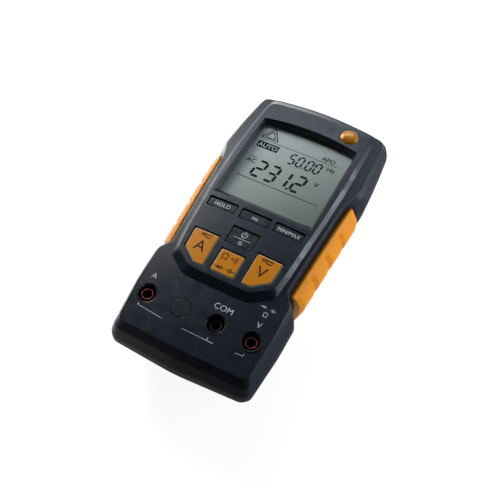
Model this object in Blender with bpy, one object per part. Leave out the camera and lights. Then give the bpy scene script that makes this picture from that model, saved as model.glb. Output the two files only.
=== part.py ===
"""Handheld digital multimeter lying on its back, as an assembly of separate parts.

X is to the right across the front face, Y runs up the case towards the display, Z out of the front.
Shapes are written in millimetres and become metres in place_mesh. Pieces that a Boolean cuts or joins
keep the other shape as a hidden wire helper.
"""

import math

import bmesh
import bpy
from mathutils import Vector

MM = 0.001
GAP = 0.3  # clearance between neighbouring pieces
SHARP_ANGLE = math.radians(35)  # round pieces are shaded smooth across edges flatter than this

# Front face: a surface arched along the case and slightly crowned across it.
FACE_TOP_Z = 45.0
ARCH_CENTRE_Y = -4.0
CROSS_CROWN = 0.0014
LONG_ARCH = 0.00084

PLANE_DEPTH = 2.5  # sunken plane round the raised panel
EDGE_DEPTH = 5.9  # outer edge of the case chamfer
WALL_DEPTH = 10.5
PARTING_Z = 24.5
BACK_Z = 1.2
FACE_WALL = 2.4
SIDE_WALL = 2.2

# Screen: flat pane, tilted to follow the arch.
SCREEN_DEPTH = 3.1
SCREEN_LOW_Y, SCREEN_HIGH_Y = 6.1, 66.0
PANE_TOP = 0.05
PANE_THICK = 1.4
PANE_POCKET = 1.35  # how far the pane's pocket reaches beyond the opening's mouth
LCD_THICK = 2.4
BACKLIGHT_THICK = 2.4

BOARD_TOP_Z = 30.0
BOARD_THICK = 1.6
BOARD_LOW_Y, BOARD_HIGH_Y = -49.0, 62.5
BOARD_HALF_X = 27.5

KEY_CLEARANCE = 0.45
KEY_BOTTOM_Z = 34.4
KEY_FLANGE = 0.9
KEY_FLANGE_THICK = 1.2
KEY_SINK = {"dark": 0.7, "orange": 0.25}  # depth of the key's top under the panel
KEY_FLANGE_Z = {"dark": 40.2, "orange": 39.6}
MAT_TOP_Z = 31.7
DOME_TOP_Z = 33.2

SOCKET_Y = -59.0
SOCKET_X = {"amps": -28.5, "com": 9.5, "volts": 28.5}
BLANK_X = -9.5
WELL_RADIUS = 4.9
WELL_BORE_RADIUS = 4.3
COLLAR_RADIUS = 2.95
PLUG_BORE_RADIUS = 2.0
SOCKET_FLOOR_Z = 16.0
TAIL_HALF_WIDTH, TAIL_THICK = 0.8, 0.8

BADGE = (19.3, 71.6)
BADGE_RADIUS = 4.95

CELL_RADIUS = 5.2
CELL_LENGTH = 44.5
CELL_NUB_RADIUS = 1.9
SPRING_SPACE = 6.0
CONTACT_THICK = 0.5
CONTACT_HALF = 4.3
CELL_PITCH = 11.0
CELL_Z = 10.4
BAY_LOW_Y, BAY_HIGH_Y = -38.5, 14.5
BAY_HALF_X = 17.4
BAY_ROOF_Z = 16.5

DOOR_HALF_X = 19.3
DOOR_LOW_Y, DOOR_HIGH_Y = -47.5, 16.3
DOOR_THICK = 1.9
DOOR_SCREW_Y = -43.6

STAND_AXIS_Y, STAND_AXIS_Z = 22.0, 3.5
STAND_HALF_X = 30.0
STAND_BAR = 6.0
STAND_THICK = 3.2
STAND_KNUCKLE_RADIUS = 1.95
STAND_LOW_Y = -58.0
STAND_PIN_RADIUS = 1.2
TROUGH_ROOF_Z = 5.9

HEAD_THICK = 1.7
FUSE_CENTRE = (6.0, -24.0, 23.6)
FUSE_CLIP_X = 13.6

CASE_SCREWS = {"upper_left": (-27.0, 70.5), "upper_right": (27.0, 70.5),
               "lower_left": (-19.0, -67.0), "lower_right": (19.0, -67.0)}
BOARD_SCREWS = {"left": (-22.0, -43.5), "right": (22.0, -43.5)}
FEET = {"upper_left": (-27.0, 56.0), "upper_right": (27.0, 56.0),
        "lower_left": (-27.0, -65.0), "lower_right": (27.0, -65.0)}
FOOT_RADIUS = 4.0

# Half outlines run from the top centre down the right side to the bottom centre.
PANEL_TOP = [(0, 78.2), (14, 77.8), (26.5, 76.8), (28.9, 76.0), (30.2, 74.0), (30.9, 58), (31.0, 42),
             (30.9, 36), (30.3, 14), (27.8, -22), (26.4, -32.0), (21.2, -35.4), (16.5, -38.6), (8, -39.0),
             (0, -39.0)]
PANEL_FOOT = [(0, 83.0), (15, 82.5), (28.6, 81.4), (31.3, 80.2), (32.3, 76.5), (33.0, 58), (33.1, 42),
              (33.0, 36), (32.2, 14), (30.1, -22), (28.8, -34.8), (23.5, -38.8), (18.2, -42.7), (9, -43.3),
              (0, -43.3)]
PLANE_EDGE = [(0, 83.9), (15, 83.4), (33.8, 81.3), (35.7, 80.4), (36.4, 78.3), (37.9, 61), (38.9, 40.8),
              (37.3, 35.7), (35.6, 29.8), (32.0, -28.5), (36.7, -34.0), (36.9, -54), (35.3, -74.0),
              (32.8, -76.5), (0, -77.6)]
CASE_EDGE = [(0, 85.0), (15, 84.5), (35.2, 82.6), (37.9, 81.3), (38.9, 78.6), (40.4, 60.5), (41.3, 41.0),
             (38.5, 35.3), (36.1, 30.4), (32.9, -29.0), (38.9, -35.2), (38.8, -54.5), (37.1, -77.2),
             (34.2, -79.8), (0, -81.0)]
CASE_WALL = [(0, 85.0), (15, 84.6), (35.8, 82.9), (38.8, 81.6), (40.0, 78.6), (41.5, 60), (42.2, 40.0),
             (41.3, 34.2), (38.2, 33.6), (34.9, -31.8), (40.6, -37.4), (40.5, -55), (38.5, -79.6),
             (35.2, -82.5), (0, -84.4)]
CASE_RIM = [(0, 85.0), (15, 84.6), (35.8, 82.9), (38.8, 81.6), (40.2, 78.6), (42.0, 60), (43.0, 38.0),
            (42.6, 31.6), (38.2, 31.4), (34.9, -31.8), (40.8, -37.4), (40.6, -55), (38.6, -79.9),
            (35.2, -83.1), (0, -85.0)]
BACK_EDGE = [(0, 78.0), (15, 77.6), (29.2, 76.2), (32.4, 74.6), (33.8, 71.5), (34.8, 56), (35.4, 38.6),
             (35.2, 33.6), (34.4, 32.2), (32.4, -33.4), (34.2, -38.2), (33.6, -54), (31.4, -68.0),
             (28.4, -71.2), (0, -72.8)]
SEGMENTS = [2, 3, 1, 1, 2, 1, 1, 1, 4, 1, 2, 2, 1, 4]  # steps on each stretch of a half outline

KEYS = {
    "key_hold": ([(-27.3, 2.8), (-10.5, 2.8), (-10.5, -3.2), (-26.9, -3.2)], "dark"),
    "key_frequency": ([(-8.4, 2.6), (8.4, 2.6), (8.4, -3.4), (-8.4, -3.4)], "dark"),
    "key_min_max": ([(10.5, 2.8), (27.3, 2.8), (26.9, -3.2), (10.5, -3.2)], "dark"),
    "key_power": ([(-7.7, -8.6), (7.7, -8.6), (7.7, -19.15), (-7.7, -19.15)], "dark"),
    "key_ohms": ([(-7.0, -22.4), (7.0, -22.4), (7.0, -36.4), (-7.0, -36.4)], "orange"),
    "key_amps": ([(-25.2, -17.2), (-10.3, -17.2), (-9.9, -36.3), (-15.7, -36.3), (-24.5, -29.6)], "orange"),
    "key_volts": ([(10.3, -17.2), (25.2, -17.2), (24.5, -29.6), (15.7, -36.3), (9.9, -36.3)], "orange"),
}

MATERIALS = {
    # name: colour, roughness, metallic
    "case_plastic": ((0.045, 0.052, 0.068), 0.45, 0.0),
    "grip_rubber": ((0.80, 0.31, 0.04), 0.55, 0.0),
    "key_orange": ((0.80, 0.26, 0.02), 0.40, 0.0),
    "key_dark": ((0.030, 0.034, 0.042), 0.30, 0.0),
    "clear_pane": ((0.55, 0.62, 0.60), 0.05, 0.0),
    "lcd_grey": ((0.42, 0.48, 0.45), 0.20, 0.0),
    "diffuser_white": ((0.85, 0.86, 0.84), 0.40, 0.0),
    "board_green": ((0.04, 0.22, 0.10), 0.45, 0.0),
    "silicone_grey": ((0.35, 0.36, 0.37), 0.70, 0.0),
    "socket_black": ((0.012, 0.012, 0.014), 0.50, 0.0),
    "socket_red": ((0.45, 0.02, 0.02), 0.40, 0.0),
    "brass": ((0.75, 0.55, 0.25), 0.30, 1.0),
    "steel": ((0.62, 0.62, 0.64), 0.30, 1.0),
    "ceramic": ((0.86, 0.84, 0.78), 0.50, 0.0),
    "cell_jacket": ((0.10, 0.11, 0.13), 0.35, 0.0),
    "chip_black": ((0.02, 0.02, 0.02), 0.55, 0.0),
    "badge_bronze": ((0.55, 0.24, 0.06), 0.28, 0.6),
    "foot_rubber": ((0.02, 0.02, 0.02), 0.85, 0.0),
    "shunt_wire": ((0.60, 0.42, 0.28), 0.35, 1.0),
}


def face_z(x, y, depth=0.0):
    """Height of the arched front face, or of the surface a given depth under it."""
    return FACE_TOP_Z - CROSS_CROWN * x * x - LONG_ARCH * (y - ARCH_CENTRE_Y) ** 2 - depth


def screen_z(y, depth=0.0):
    """Height of the flat tilted screen plane at y."""
    low = face_z(0, SCREEN_LOW_Y, SCREEN_DEPTH)
    high = face_z(0, SCREEN_HIGH_Y, SCREEN_DEPTH)
    return low + (high - low) * (y - SCREEN_LOW_Y) / (SCREEN_HIGH_Y - SCREEN_LOW_Y) - depth


def clear_scene():
    for obj in list(bpy.data.objects):
        bpy.data.objects.remove(obj, do_unlink=True)


def material(name):
    found = bpy.data.materials.get(name)
    if found:
        return found
    colour, roughness, metallic = MATERIALS[name]
    made = bpy.data.materials.new(name)
    made.use_nodes = True
    shader = made.node_tree.nodes["Principled BSDF"]
    shader.inputs["Base Color"].default_value = (*colour, 1.0)
    shader.inputs["Roughness"].default_value = roughness
    shader.inputs["Metallic"].default_value = metallic
    made.diffuse_color = (*colour, 1.0)
    made.metallic = metallic
    made.roughness = roughness
    return made


def place_mesh(name, points, faces, slot=None, origin=(0, 0, 0), smooth=False):
    """A mesh object from points in millimetres, with its origin at a point in millimetres."""
    mesh = bpy.data.meshes.new(name)
    start = Vector(origin)
    mesh.from_pydata([(Vector(p) - start) * MM for p in points], [], faces)
    built = bmesh.new()
    built.from_mesh(mesh)
    bmesh.ops.recalc_face_normals(built, faces=built.faces)
    built.to_mesh(mesh)
    built.free()
    obj = bpy.data.objects.new(name, mesh)
    obj.location = start * MM
    bpy.context.scene.collection.objects.link(obj)
    if slot:
        mesh.materials.append(material(slot))
    else:
        obj.hide_render = True
        obj.display_type = "WIRE"
    if smooth:
        mesh.shade_smooth()
        mesh.set_sharp_from_angle(angle=SHARP_ANGLE)
    return obj


def loft(rings, close_start=True, close_end=True, loop=False):
    """Points and faces of a skin over rings that all have the same number of points."""
    count = len(rings[0])
    points = [p for ring in rings for p in ring]
    faces = []
    for row in range(len(rings) if loop else len(rings) - 1):
        below, above = row * count, (row + 1) % len(rings) * count
        for i in range(count):
            j = (i + 1) % count
            faces.append((below + i, below + j, above + j, above + i))
    if not loop and close_start:
        faces.append(tuple(reversed(range(count))))
    if not loop and close_end:
        faces.append(tuple(range(len(points) - count, len(points))))
    return points, faces


def prism(name, outline, low_z, high_z, slot=None, origin=(0, 0, 0)):
    rings = [[(x, y, z) for x, y in outline] for z in (low_z, high_z)]
    return place_mesh(name, *loft(rings), slot, origin)


def box(name, low, high, slot=None, origin=(0, 0, 0)):
    outline = [(low[0], low[1]), (high[0], low[1]), (high[0], high[1]), (low[0], high[1])]
    return prism(name, outline, low[2], high[2], slot, origin)


def circle(x, y, radius, count):
    turns = [2 * math.pi * i / count for i in range(count)]
    return [(x + radius * math.cos(t), y + radius * math.sin(t)) for t in turns]


def turned(name, profile, x, y, slot=None, count=24, hollow=False, origin=None):
    """A round piece on a vertical axis from (radius, z) pairs; hollow closes the profile on itself."""
    rings = [[(px, py, z) for px, py in circle(x, y, r, count)] for r, z in profile]
    start = origin or (x, y, profile[0][1])
    return place_mesh(name, *loft(rings, loop=hollow), slot, start, smooth=True)


def use(obj, operation, other):
    """Adds one exact Boolean modifier; the other object becomes a hidden helper."""
    cut = obj.modifiers.new(operation.lower() + "_" + other.name, "BOOLEAN")
    cut.operation = operation
    cut.solver = "EXACT"
    cut.object = other
    other.hide_render = True
    other.display_type = "WIRE"


def cut_out(obj, other):
    use(obj, "DIFFERENCE", other)


def add_on(obj, other):
    use(obj, "UNION", other)


def spread(points, counts):
    """Points along a polyline with a set number of steps on each stretch."""
    made = [points[0]]
    for (ax, ay), (bx, by), steps in zip(points, points[1:], counts):
        made += [(ax + (bx - ax) * k / steps, ay + (by - ay) * k / steps) for k in range(1, steps + 1)]
    return made


def whole_outline(half, grow=0.0):
    """Both halves of an outline that is the same left and right, moved outwards by grow."""
    if grow:
        half = grown(half + [(-x, y) for x, y in reversed(half[1:-1])], grow)[:len(half)]
    right = spread(half, SEGMENTS)
    return right + [(-x, y) for x, y in reversed(right[1:-1])]


def grown(outline, distance):
    """A closed outline moved outwards by a distance, or inwards if it is negative."""
    count = len(outline)
    area = sum(outline[i][0] * outline[(i + 1) % count][1] - outline[(i + 1) % count][0] * outline[i][1]
               for i in range(count))
    side = 1 if area > 0 else -1
    moved = []
    for i, (x, y) in enumerate(outline):
        before, after = outline[i - 1], outline[(i + 1) % count]
        first = Vector((x - before[0], y - before[1])).normalized()
        second = Vector((after[0] - x, after[1] - y)).normalized()
        across = Vector((first.y + second.y, -first.x - second.x)) * side
        across.normalize()
        share = max(0.35, across.dot(Vector((first.y, -first.x)) * side))
        moved.append((x + across.x * distance / share, y + across.y * distance / share))
    return moved


def on_face(outline, depth):
    return [(x, y, face_z(x, y, depth)) for x, y in outline]


def at_height(outline, z):
    return [(x, y, z) for x, y in outline]


def shrunk(outline, share, centre_y):
    """The outline drawn in towards a short spine on the centre line."""
    return [(x * share, centre_y + (y - centre_y) * share) for x, y in outline]


def front_shell():
    """Bowl with an arched face, a raised panel and a waist that seats the grips."""
    panel, foot, plane, edge, wall, rim = (
        whole_outline(half) for half in (PANEL_TOP, PANEL_FOOT, PLANE_EDGE, CASE_EDGE, CASE_WALL, CASE_RIM))
    middle = 18.0
    outer = [on_face(shrunk(panel, s, middle), 0) for s in (0.12, 0.45, 0.75)]
    outer += [on_face(panel, 0), on_face(foot, PLANE_DEPTH), on_face(plane, PLANE_DEPTH),
              on_face(edge, EDGE_DEPTH), on_face(wall, WALL_DEPTH), at_height(rim, PARTING_Z)]
    wall_in, panel_in = whole_outline(CASE_WALL, -SIDE_WALL), whole_outline(PANEL_TOP, -1.5)
    inner = [at_height(whole_outline(CASE_RIM, -SIDE_WALL), PARTING_Z), on_face(wall_in, WALL_DEPTH),
             on_face(whole_outline(CASE_EDGE, -SIDE_WALL), EDGE_DEPTH + 1.2),
             on_face(whole_outline(PLANE_EDGE, -SIDE_WALL - 0.6), PLANE_DEPTH + FACE_WALL),
             on_face(whole_outline(PANEL_FOOT, -2.2), PLANE_DEPTH + FACE_WALL), on_face(panel_in, FACE_WALL)]
    inner += [on_face(shrunk(panel_in, s, middle), FACE_WALL) for s in (0.7, 0.4, 0.12)]
    return place_mesh("front_shell", *loft(outer + inner), "case_plastic")


def screen_outline(grow_side, grow_low, grow_high):
    """Screen opening with its arched top edge, as a closed outline."""
    half = 27.8 + grow_side
    low = SCREEN_LOW_Y - grow_low
    high = SCREEN_HIGH_Y + grow_high
    top = [(half * k / 6, high - 2.5 * (k / 6) ** 2) for k in range(6, -7, -1)]
    return [(-half, low), (half, low)] + top


def on_screen(outline, depth):
    return [(x, y, screen_z(y, depth)) for x, y in outline]


def screen_frame(shell):
    """Rib under the face that stands round the pane."""
    outline = screen_outline(2.9, 1.9, 2.9)
    add_on(shell, place_mesh("frame_screen", *loft([on_face(outline, 0.6), on_screen(outline, 1.5)])))


def cut_screen(shell):
    """Bevelled mouth and, under its lip, the pane's pocket."""
    upper = [(x, y, face_z(x, y) + 2.0) for x, y in screen_outline(0.8, 2.1, 1.4)]
    foot = screen_outline(-1.1, -2.8, -1.9)
    cut_out(shell, place_mesh("cut_screen", *loft([upper, on_screen(foot, 0), on_screen(foot, 6.0)])))
    pocket = screen_outline(PANE_POCKET, PANE_POCKET, PANE_POCKET)
    cut_out(shell, place_mesh("cut_pane_seat", *loft([on_screen(pocket, -0.1), on_screen(pocket, 7.5)])))


def cut_keys(shell):
    for name, (outline, _) in KEYS.items():
        cut_out(shell, prism("cut_" + name, outline, 33.0, 50.0))


def front_posts(shell):
    """Screw posts hanging from the inside of the face."""
    for name, (x, y) in CASE_SCREWS.items():
        top = face_z(x, y, PLANE_DEPTH + 1.0)
        add_on(shell, prism("post_" + name, circle(x, y, 3.3, 12), PARTING_Z + GAP, top))
        cut_out(shell, prism("pilot_" + name, circle(x, y, 1.5, 10), PARTING_Z - 1, top - 2.5))
    for name, (x, y) in BOARD_SCREWS.items():
        top = face_z(x, y, PLANE_DEPTH + 1.0)
        add_on(shell, prism("post_board_" + name, circle(x, y, 2.5, 12), BOARD_TOP_Z + GAP, top))
        cut_out(shell, prism("pilot_board_" + name, circle(x, y, 1.2, 8), BOARD_TOP_Z - 1, top - 1.8))


def cut_sockets(shell):
    for name, x in {**SOCKET_X, "blank": BLANK_X}.items():
        cut_out(shell, prism("cut_socket_" + name, circle(x, SOCKET_Y, WELL_RADIUS + GAP, 20), 24.0, 50.0))


def build_front():
    shell = front_shell()
    front_posts(shell)
    screen_frame(shell)
    cut_screen(shell)
    cut_keys(shell)
    cut_sockets(shell)
    x, y = BADGE
    seat = face_z(x, y) - 0.7
    cut_out(shell, prism("cut_badge", circle(x, y, BADGE_RADIUS + 0.35, 24), seat, 50.0))


def badge():
    """Plain domed disc let into the panel."""
    x, y = BADGE
    base = face_z(x, y) - 0.45
    profile = [(BADGE_RADIUS, base), (BADGE_RADIUS, base + 0.6), (4.5, base + 0.95), (3.0, base + 1.35),
               (1.4, base + 1.55)]
    turned("badge", profile, x, y, "badge_bronze", 24)


def key(name):
    """Key cap with a chamfered top that follows the face and a flange that stays under it."""
    outline, kind = KEYS[name]
    steps = [max(1, round(math.dist(outline[i], outline[(i + 1) % len(outline)]) / 6.0))
             for i in range(len(outline))]
    ring = spread(outline + outline[:1], steps)[:-1]
    cap, flange = grown(ring, -KEY_CLEARANCE), grown(ring, KEY_FLANGE)
    top, flange_z = KEY_SINK[kind], KEY_FLANGE_Z[kind]
    x, y = (sum(c) / len(ring) for c in zip(*ring))
    crown = [(x + (px - x) * 0.35, y + (py - y) * 0.35) for px, py in cap]
    rings = [at_height(cap, KEY_BOTTOM_Z), at_height(cap, flange_z - KEY_FLANGE_THICK),
             at_height(flange, flange_z - KEY_FLANGE_THICK), at_height(flange, flange_z),
             at_height(cap, flange_z), on_face(cap, top + 0.5), on_face(grown(cap, -0.55), top),
             on_face(crown, top)]
    place_mesh(name, *loft(rings), "key_" + kind, (x, y, KEY_BOTTOM_Z))


def keypad_mat():
    """Silicone sheet with one raised dome under each key."""
    half = BOARD_HALF_X - 0.5
    mat = box("keypad_mat", (-half, -39.0, BOARD_TOP_Z + GAP), (half, 4.0, MAT_TOP_Z), "silicone_grey")
    for name, (outline, _) in KEYS.items():
        x, y = (sum(c) / len(outline) for c in zip(*outline))
        profile = [(2.6, MAT_TOP_Z - 0.6), (2.6, MAT_TOP_Z + 0.4), (1.7, DOME_TOP_Z)]
        add_on(mat, turned("dome_" + name, profile, x, y, None, 8))


def tilted_plate(name, outline, top, thick, slot):
    place_mesh(name, *loft([on_screen(outline, top), on_screen(outline, top + thick)]), slot)


def display():
    """Clear pane, display glass, backlight and the rubber connector that stands on the board."""
    tilted_plate("screen_window", screen_outline(1.05, 1.05, 1.05), PANE_TOP, PANE_THICK, "clear_pane")
    glass_top = PANE_TOP + PANE_THICK + GAP
    glass = [(-28.3, 5.6), (28.3, 5.6), (28.3, 63.2), (-28.3, 63.2)]
    tilted_plate("lcd_glass", glass, glass_top, LCD_THICK, "lcd_grey")
    light_top = glass_top + LCD_THICK + GAP
    light = [(-27.6, 13.0), (27.6, 13.0), (27.6, 61.2), (-27.6, 61.2)]
    tilted_plate("lcd_backlight", light, light_top, BACKLIGHT_THICK, "diffuser_white")
    strip = [(-24, 7.2), (24, 7.2), (24, 10.4), (-24, 10.4)]
    rings = [at_height(strip, BOARD_TOP_Z + GAP), on_screen(strip, light_top)]
    place_mesh("lcd_connector", *loft(rings), "silicone_grey")


def board():
    """Main board with its measuring chip, current shunt and buzzer underneath."""
    low_z = BOARD_TOP_Z - BOARD_THICK
    plate = box("main_board", (-BOARD_HALF_X, BOARD_LOW_Y, low_z), (BOARD_HALF_X, BOARD_HIGH_Y, BOARD_TOP_Z),
                "board_green")
    for name, (x, y) in BOARD_SCREWS.items():
        cut_out(plate, prism("board_hole_" + name, circle(x, y, 1.5, 12), low_z - 1, BOARD_TOP_Z + 1))
    under = low_z - GAP
    box("measuring_chip", (-6.5, 26, under - 1.7), (6.5, 39, under), "chip_black")
    current_shunt(under)
    profile = [(8.5, under), (8.5, under - 3.2), (7.6, under - 3.6), (1.5, under - 3.6)]
    turned("buzzer", profile, -14, 48, "chip_black", 24)


def current_shunt(under):
    """Flat metal strap bent into a U that hangs from the board."""
    left, right, thick, drop = -24.0, -14.0, 1.6, 5.0
    section = [(left, under), (left, under - drop), (right, under - drop), (right, under),
               (right - thick, under), (right - thick, under - drop + thick),
               (left + thick, under - drop + thick), (left + thick, under)]
    place_mesh("current_shunt", *loft([[(x, y, z) for x, z in section] for y in (-36.5, -34.5)]), "shunt_wire")


def turned_along(name, profile, centre, slot, axis, count=20):
    """A round piece whose axis lies along X or Y, from (distance along the axis, radius) pairs."""
    rings = []
    for along, radius in profile:
        ring = circle(0, 0, radius, count)
        if axis == "X":
            rings.append([(centre[0] + along, centre[1] + a, centre[2] + b) for a, b in ring])
        else:
            rings.append([(centre[0] + a, centre[1] + along, centre[2] + b) for a, b in ring])
    return place_mesh(name, *loft(rings), slot, centre, smooth=True)


def fuse():
    """Ceramic fuse in two spring clips that hang from the board."""
    profile = [(-16, 3.15), (-10.4, 3.15), (-10.4, 2.9), (10.4, 2.9), (10.4, 3.15), (16, 3.15)]
    turned_along("fuse", profile, FUSE_CENTRE, "ceramic", "X", 18)
    fuse_clip("fuse_clip_left", FUSE_CENTRE[0] - FUSE_CLIP_X)
    fuse_clip("fuse_clip_right", FUSE_CENTRE[0] + FUSE_CLIP_X)


def fuse_clip(name, x):
    """Sprung strip bent over the fuse, flat where it meets the board."""
    outer, inner, mouth, half_width = 4.1, 3.4, -2.4, 2.2
    _, y, z = FUSE_CENTRE
    roof = BOARD_TOP_Z - BOARD_THICK - GAP - z
    turns = [math.radians(a) for a in range(0, 181, 20)]
    section = [(outer, mouth)] + [(outer * math.cos(t), outer * math.sin(t) * 0.92) for t in turns]
    section += [(-outer, mouth), (-inner - 0.05, mouth)]
    section += [(inner * math.cos(t), inner * math.sin(t)) for t in reversed(turns)] + [(inner + 0.05, mouth)]
    rings = [[(x + along, y + a, z + min(b, roof)) for a, b in section] for along in (-half_width, half_width)]
    place_mesh(name, *loft(rings), "brass")


def socket(name, x):
    """Shrouded safety socket: black cup, coloured collar and a metal sleeve with its solder tail."""
    top = face_z(x, SOCKET_Y, PLANE_DEPTH)
    base, floor = SOCKET_FLOOR_Z, SOCKET_FLOOR_Z + 2.5
    bore, hole = WELL_BORE_RADIUS, COLLAR_RADIUS + GAP
    cup = [(5.7, base), (5.7, top - 4.4), (WELL_RADIUS, top - 4.4), (WELL_RADIUS, top - 0.35),
           (WELL_RADIUS - 0.35, top - 0.15), (bore, top - 0.6), (bore, floor), (hole, floor), (hole, base)]
    turned("jack_shroud_" + name, cup, x, SOCKET_Y, "socket_black", 20, hollow=True)
    common = name == "com"
    rim = top - (1.7 if common else 1.1)
    collar = [(COLLAR_RADIUS, base + 1), (COLLAR_RADIUS, rim - 0.2), (COLLAR_RADIUS - 0.2, rim), (2.35, rim),
              (2.25, rim - 0.2), (2.25, base + 1)]
    colour = "socket_black" if common else "socket_red"
    turned("jack_collar_" + name, collar, x, SOCKET_Y, colour, 18, hollow=True)
    socket_sleeve(name, x, top - 3.5)


def socket_sleeve(name, x, top):
    """Turned sleeve with a flat tail that rises to the edge of the board."""
    low, outer = SOCKET_FLOOR_Z - 2, PLUG_BORE_RADIUS + 0.15
    section = [(outer, low), (outer, top), (PLUG_BORE_RADIUS, top), (PLUG_BORE_RADIUS, low)]
    sleeve = turned("jack_sleeve_" + name, section, x, SOCKET_Y, "brass", 16, hollow=True)
    tail_x = max(-24.5, min(24.5, x))
    half, thick, bend_y, rise_z = TAIL_HALF_WIDTH, TAIL_THICK, -51.6, 29.2
    pieces = {
        "foot": ((min(x, tail_x) - half, SOCKET_Y + PLUG_BORE_RADIUS + 0.05, low + 0.1),
                 (max(x, tail_x) + half, bend_y, low + 0.1 + thick)),
        "rise": ((tail_x - half, bend_y - thick, low + 0.1), (tail_x + half, bend_y, rise_z)),
        "reach": ((tail_x - half, bend_y - thick, rise_z - thick), (tail_x + half, BOARD_LOW_Y - GAP, rise_z)),
    }
    for stretch, (low_corner, high_corner) in pieces.items():
        add_on(sleeve, box(f"tail_{stretch}_{name}", low_corner, high_corner))


def sockets():
    for name, x in SOCKET_X.items():
        socket(name, x)
    top = face_z(BLANK_X, SOCKET_Y, PLANE_DEPTH)
    plug = [(4.6, top - 6.0), (WELL_RADIUS, top - 5.4), (WELL_RADIUS, top - 0.3),
            (WELL_RADIUS - 0.2, top - 0.1)]
    turned("socket_blank", plug, BLANK_X, SOCKET_Y, "case_plastic", 20)


def grip_section(y, side, notch, tilt=0.0):
    """Outline of the grip across the case at y, as closed points; tilt leans it up the case near the top."""
    seat, lip = seat_x(y), lip_x(y)
    share = min(1.0, max(0.0, (y + 33.0) / 65.0))
    out = 40.0 + 3.4 * share
    outer = [(lip + 0.9, face_z(lip, y, 4.6)), (lip + 3.1, face_z(lip + 3, y, 6.0)),
             (max(lip + 3.3, out - 2.9 - notch * 0.2), face_z(out - 3, y, 7.8)),
             (out - notch, face_z(out, y, 12.6)), (out - 0.6 + 0.4 * share - notch, 22.5),
             (out - 2.4 - notch * 0.6, 16.0), (seat - 0.5, 9.0)]
    inner = [(seat - 1.2, 9.0), (seat + GAP, 24.0), (seat + GAP, face_z(seat, y, 11.2)),
             (lip + 2.2, face_z(lip, y, 8.4)), (lip + 1.7, face_z(lip, y, 7.0))]
    return [(side * x, y + tilt * max(0.0, z - 24.0), z) for x, z in outer + inner]


def seat_x(y):
    """Half-width of the case wall behind the grip."""
    return 38.2 + (y - 31.9) * (38.2 - 34.8) / 65.1


def lip_x(y):
    """Half-width of the edge of the sunken plane along the waist."""
    if y > 29.8:
        return 35.6 + (y - 29.8) * 0.5
    return 35.6 + (y - 29.8) * (35.6 - 32.0) / 58.3


def grips():
    """Moulded side grips, each with three slanted notches and tapered ends."""
    stations = [(30.6, 0.4, 0.14), (29.2, 0.0, 0.08)]
    for top in (17.5, 3.2, -11.1):
        stations += [(top, 0.0, 0.0), (top - 3.4, 1.3, 0.0), (top - 4.0, 0.0, 0.0)]
    stations += [(-25.6, 0.0, 0.0), (-28.3, 1.2, 0.0)]
    for name, side in (("left", -1), ("right", 1)):
        rings = [grip_section(y, side, notch, tilt) for y, notch, tilt in stations]
        place_mesh("grip_" + name, *loft(rings), "grip_rubber")


def between(first, second, share):
    """The outline part of the way from one half outline to another."""
    return [(ax + (bx - ax) * share, ay + (by - ay) * share) for (ax, ay), (bx, by) in zip(first, second)]


def rear_shell():
    """Tray that tapers from the parting line to the back face.

    Each row is the share of the way from the rim to the back, how far the outline grows, and its height.
    """
    top = PARTING_Z - GAP
    rows = [(0.0, 0.0, top), (0.42, 0.0, 14.5), (0.86, 0.0, 3.4), (1.0, 0.0, BACK_Z), (1.0, -1.4, BACK_Z + 2.2),
            (0.86, -2.6, 5.2), (0.42, -SIDE_WALL - 0.2, 15.0), (0.0, -SIDE_WALL, top)]
    rings = [at_height(whole_outline(between(CASE_RIM, BACK_EDGE, share), grow), z) for share, grow, z in rows]
    points, faces = loft(rings, loop=True)
    count = len(rings[0])
    back, floor = 3, 4  # rows that bound the back's outside and inside
    walls = [face for face in faces if {p // count for p in face} != {back, floor}]
    floors = [tuple(range(row * count, (row + 1) * count)) for row in (back, floor)]
    return place_mesh("rear_shell", points, walls + floors, "case_plastic")


def trough_outline(grow):
    """The U that the stand folds into, as a closed outline."""
    out, bar = STAND_HALF_X + grow, STAND_BAR + 2 * grow
    low, high = STAND_LOW_Y - grow, STAND_AXIS_Y + 2.2 + grow
    inside = out - bar
    return [(-out, low), (out, low), (out, high), (inside, high), (inside, low + bar + 1.2),
            (-inside, low + bar + 1.2), (-inside, high), (-out, high)]


def rear_blocks(shell):
    """Solid stock inside the tray for the stand's trough, the battery bay and the screw bosses."""
    add_on(shell, prism("trough_block", trough_outline(2.3), BACK_Z + 1.0, TROUGH_ROOF_Z + 1.6))
    half = BAY_HALF_X + 3.0
    add_on(shell, box("bay_block", (-half, BAY_LOW_Y - 2.8, BACK_Z + 1.1),
                      (half, BAY_HIGH_Y + 2.8, BAY_ROOF_Z + 1.5)))
    add_on(shell, box("door_shelf", (-half, DOOR_LOW_Y - 1.2, BACK_Z + 1.1), (half, BAY_LOW_Y, BACK_Z + 4.0)))
    add_on(shell, prism("door_boss", circle(0, DOOR_SCREW_Y, 4.0, 16), BACK_Z + 1.2, 12.4))
    for name, (x, y) in CASE_SCREWS.items():
        add_on(shell, prism("boss_" + name, circle(x, y, 4.2, 12), BACK_Z + 0.9, PARTING_Z - GAP))


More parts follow.
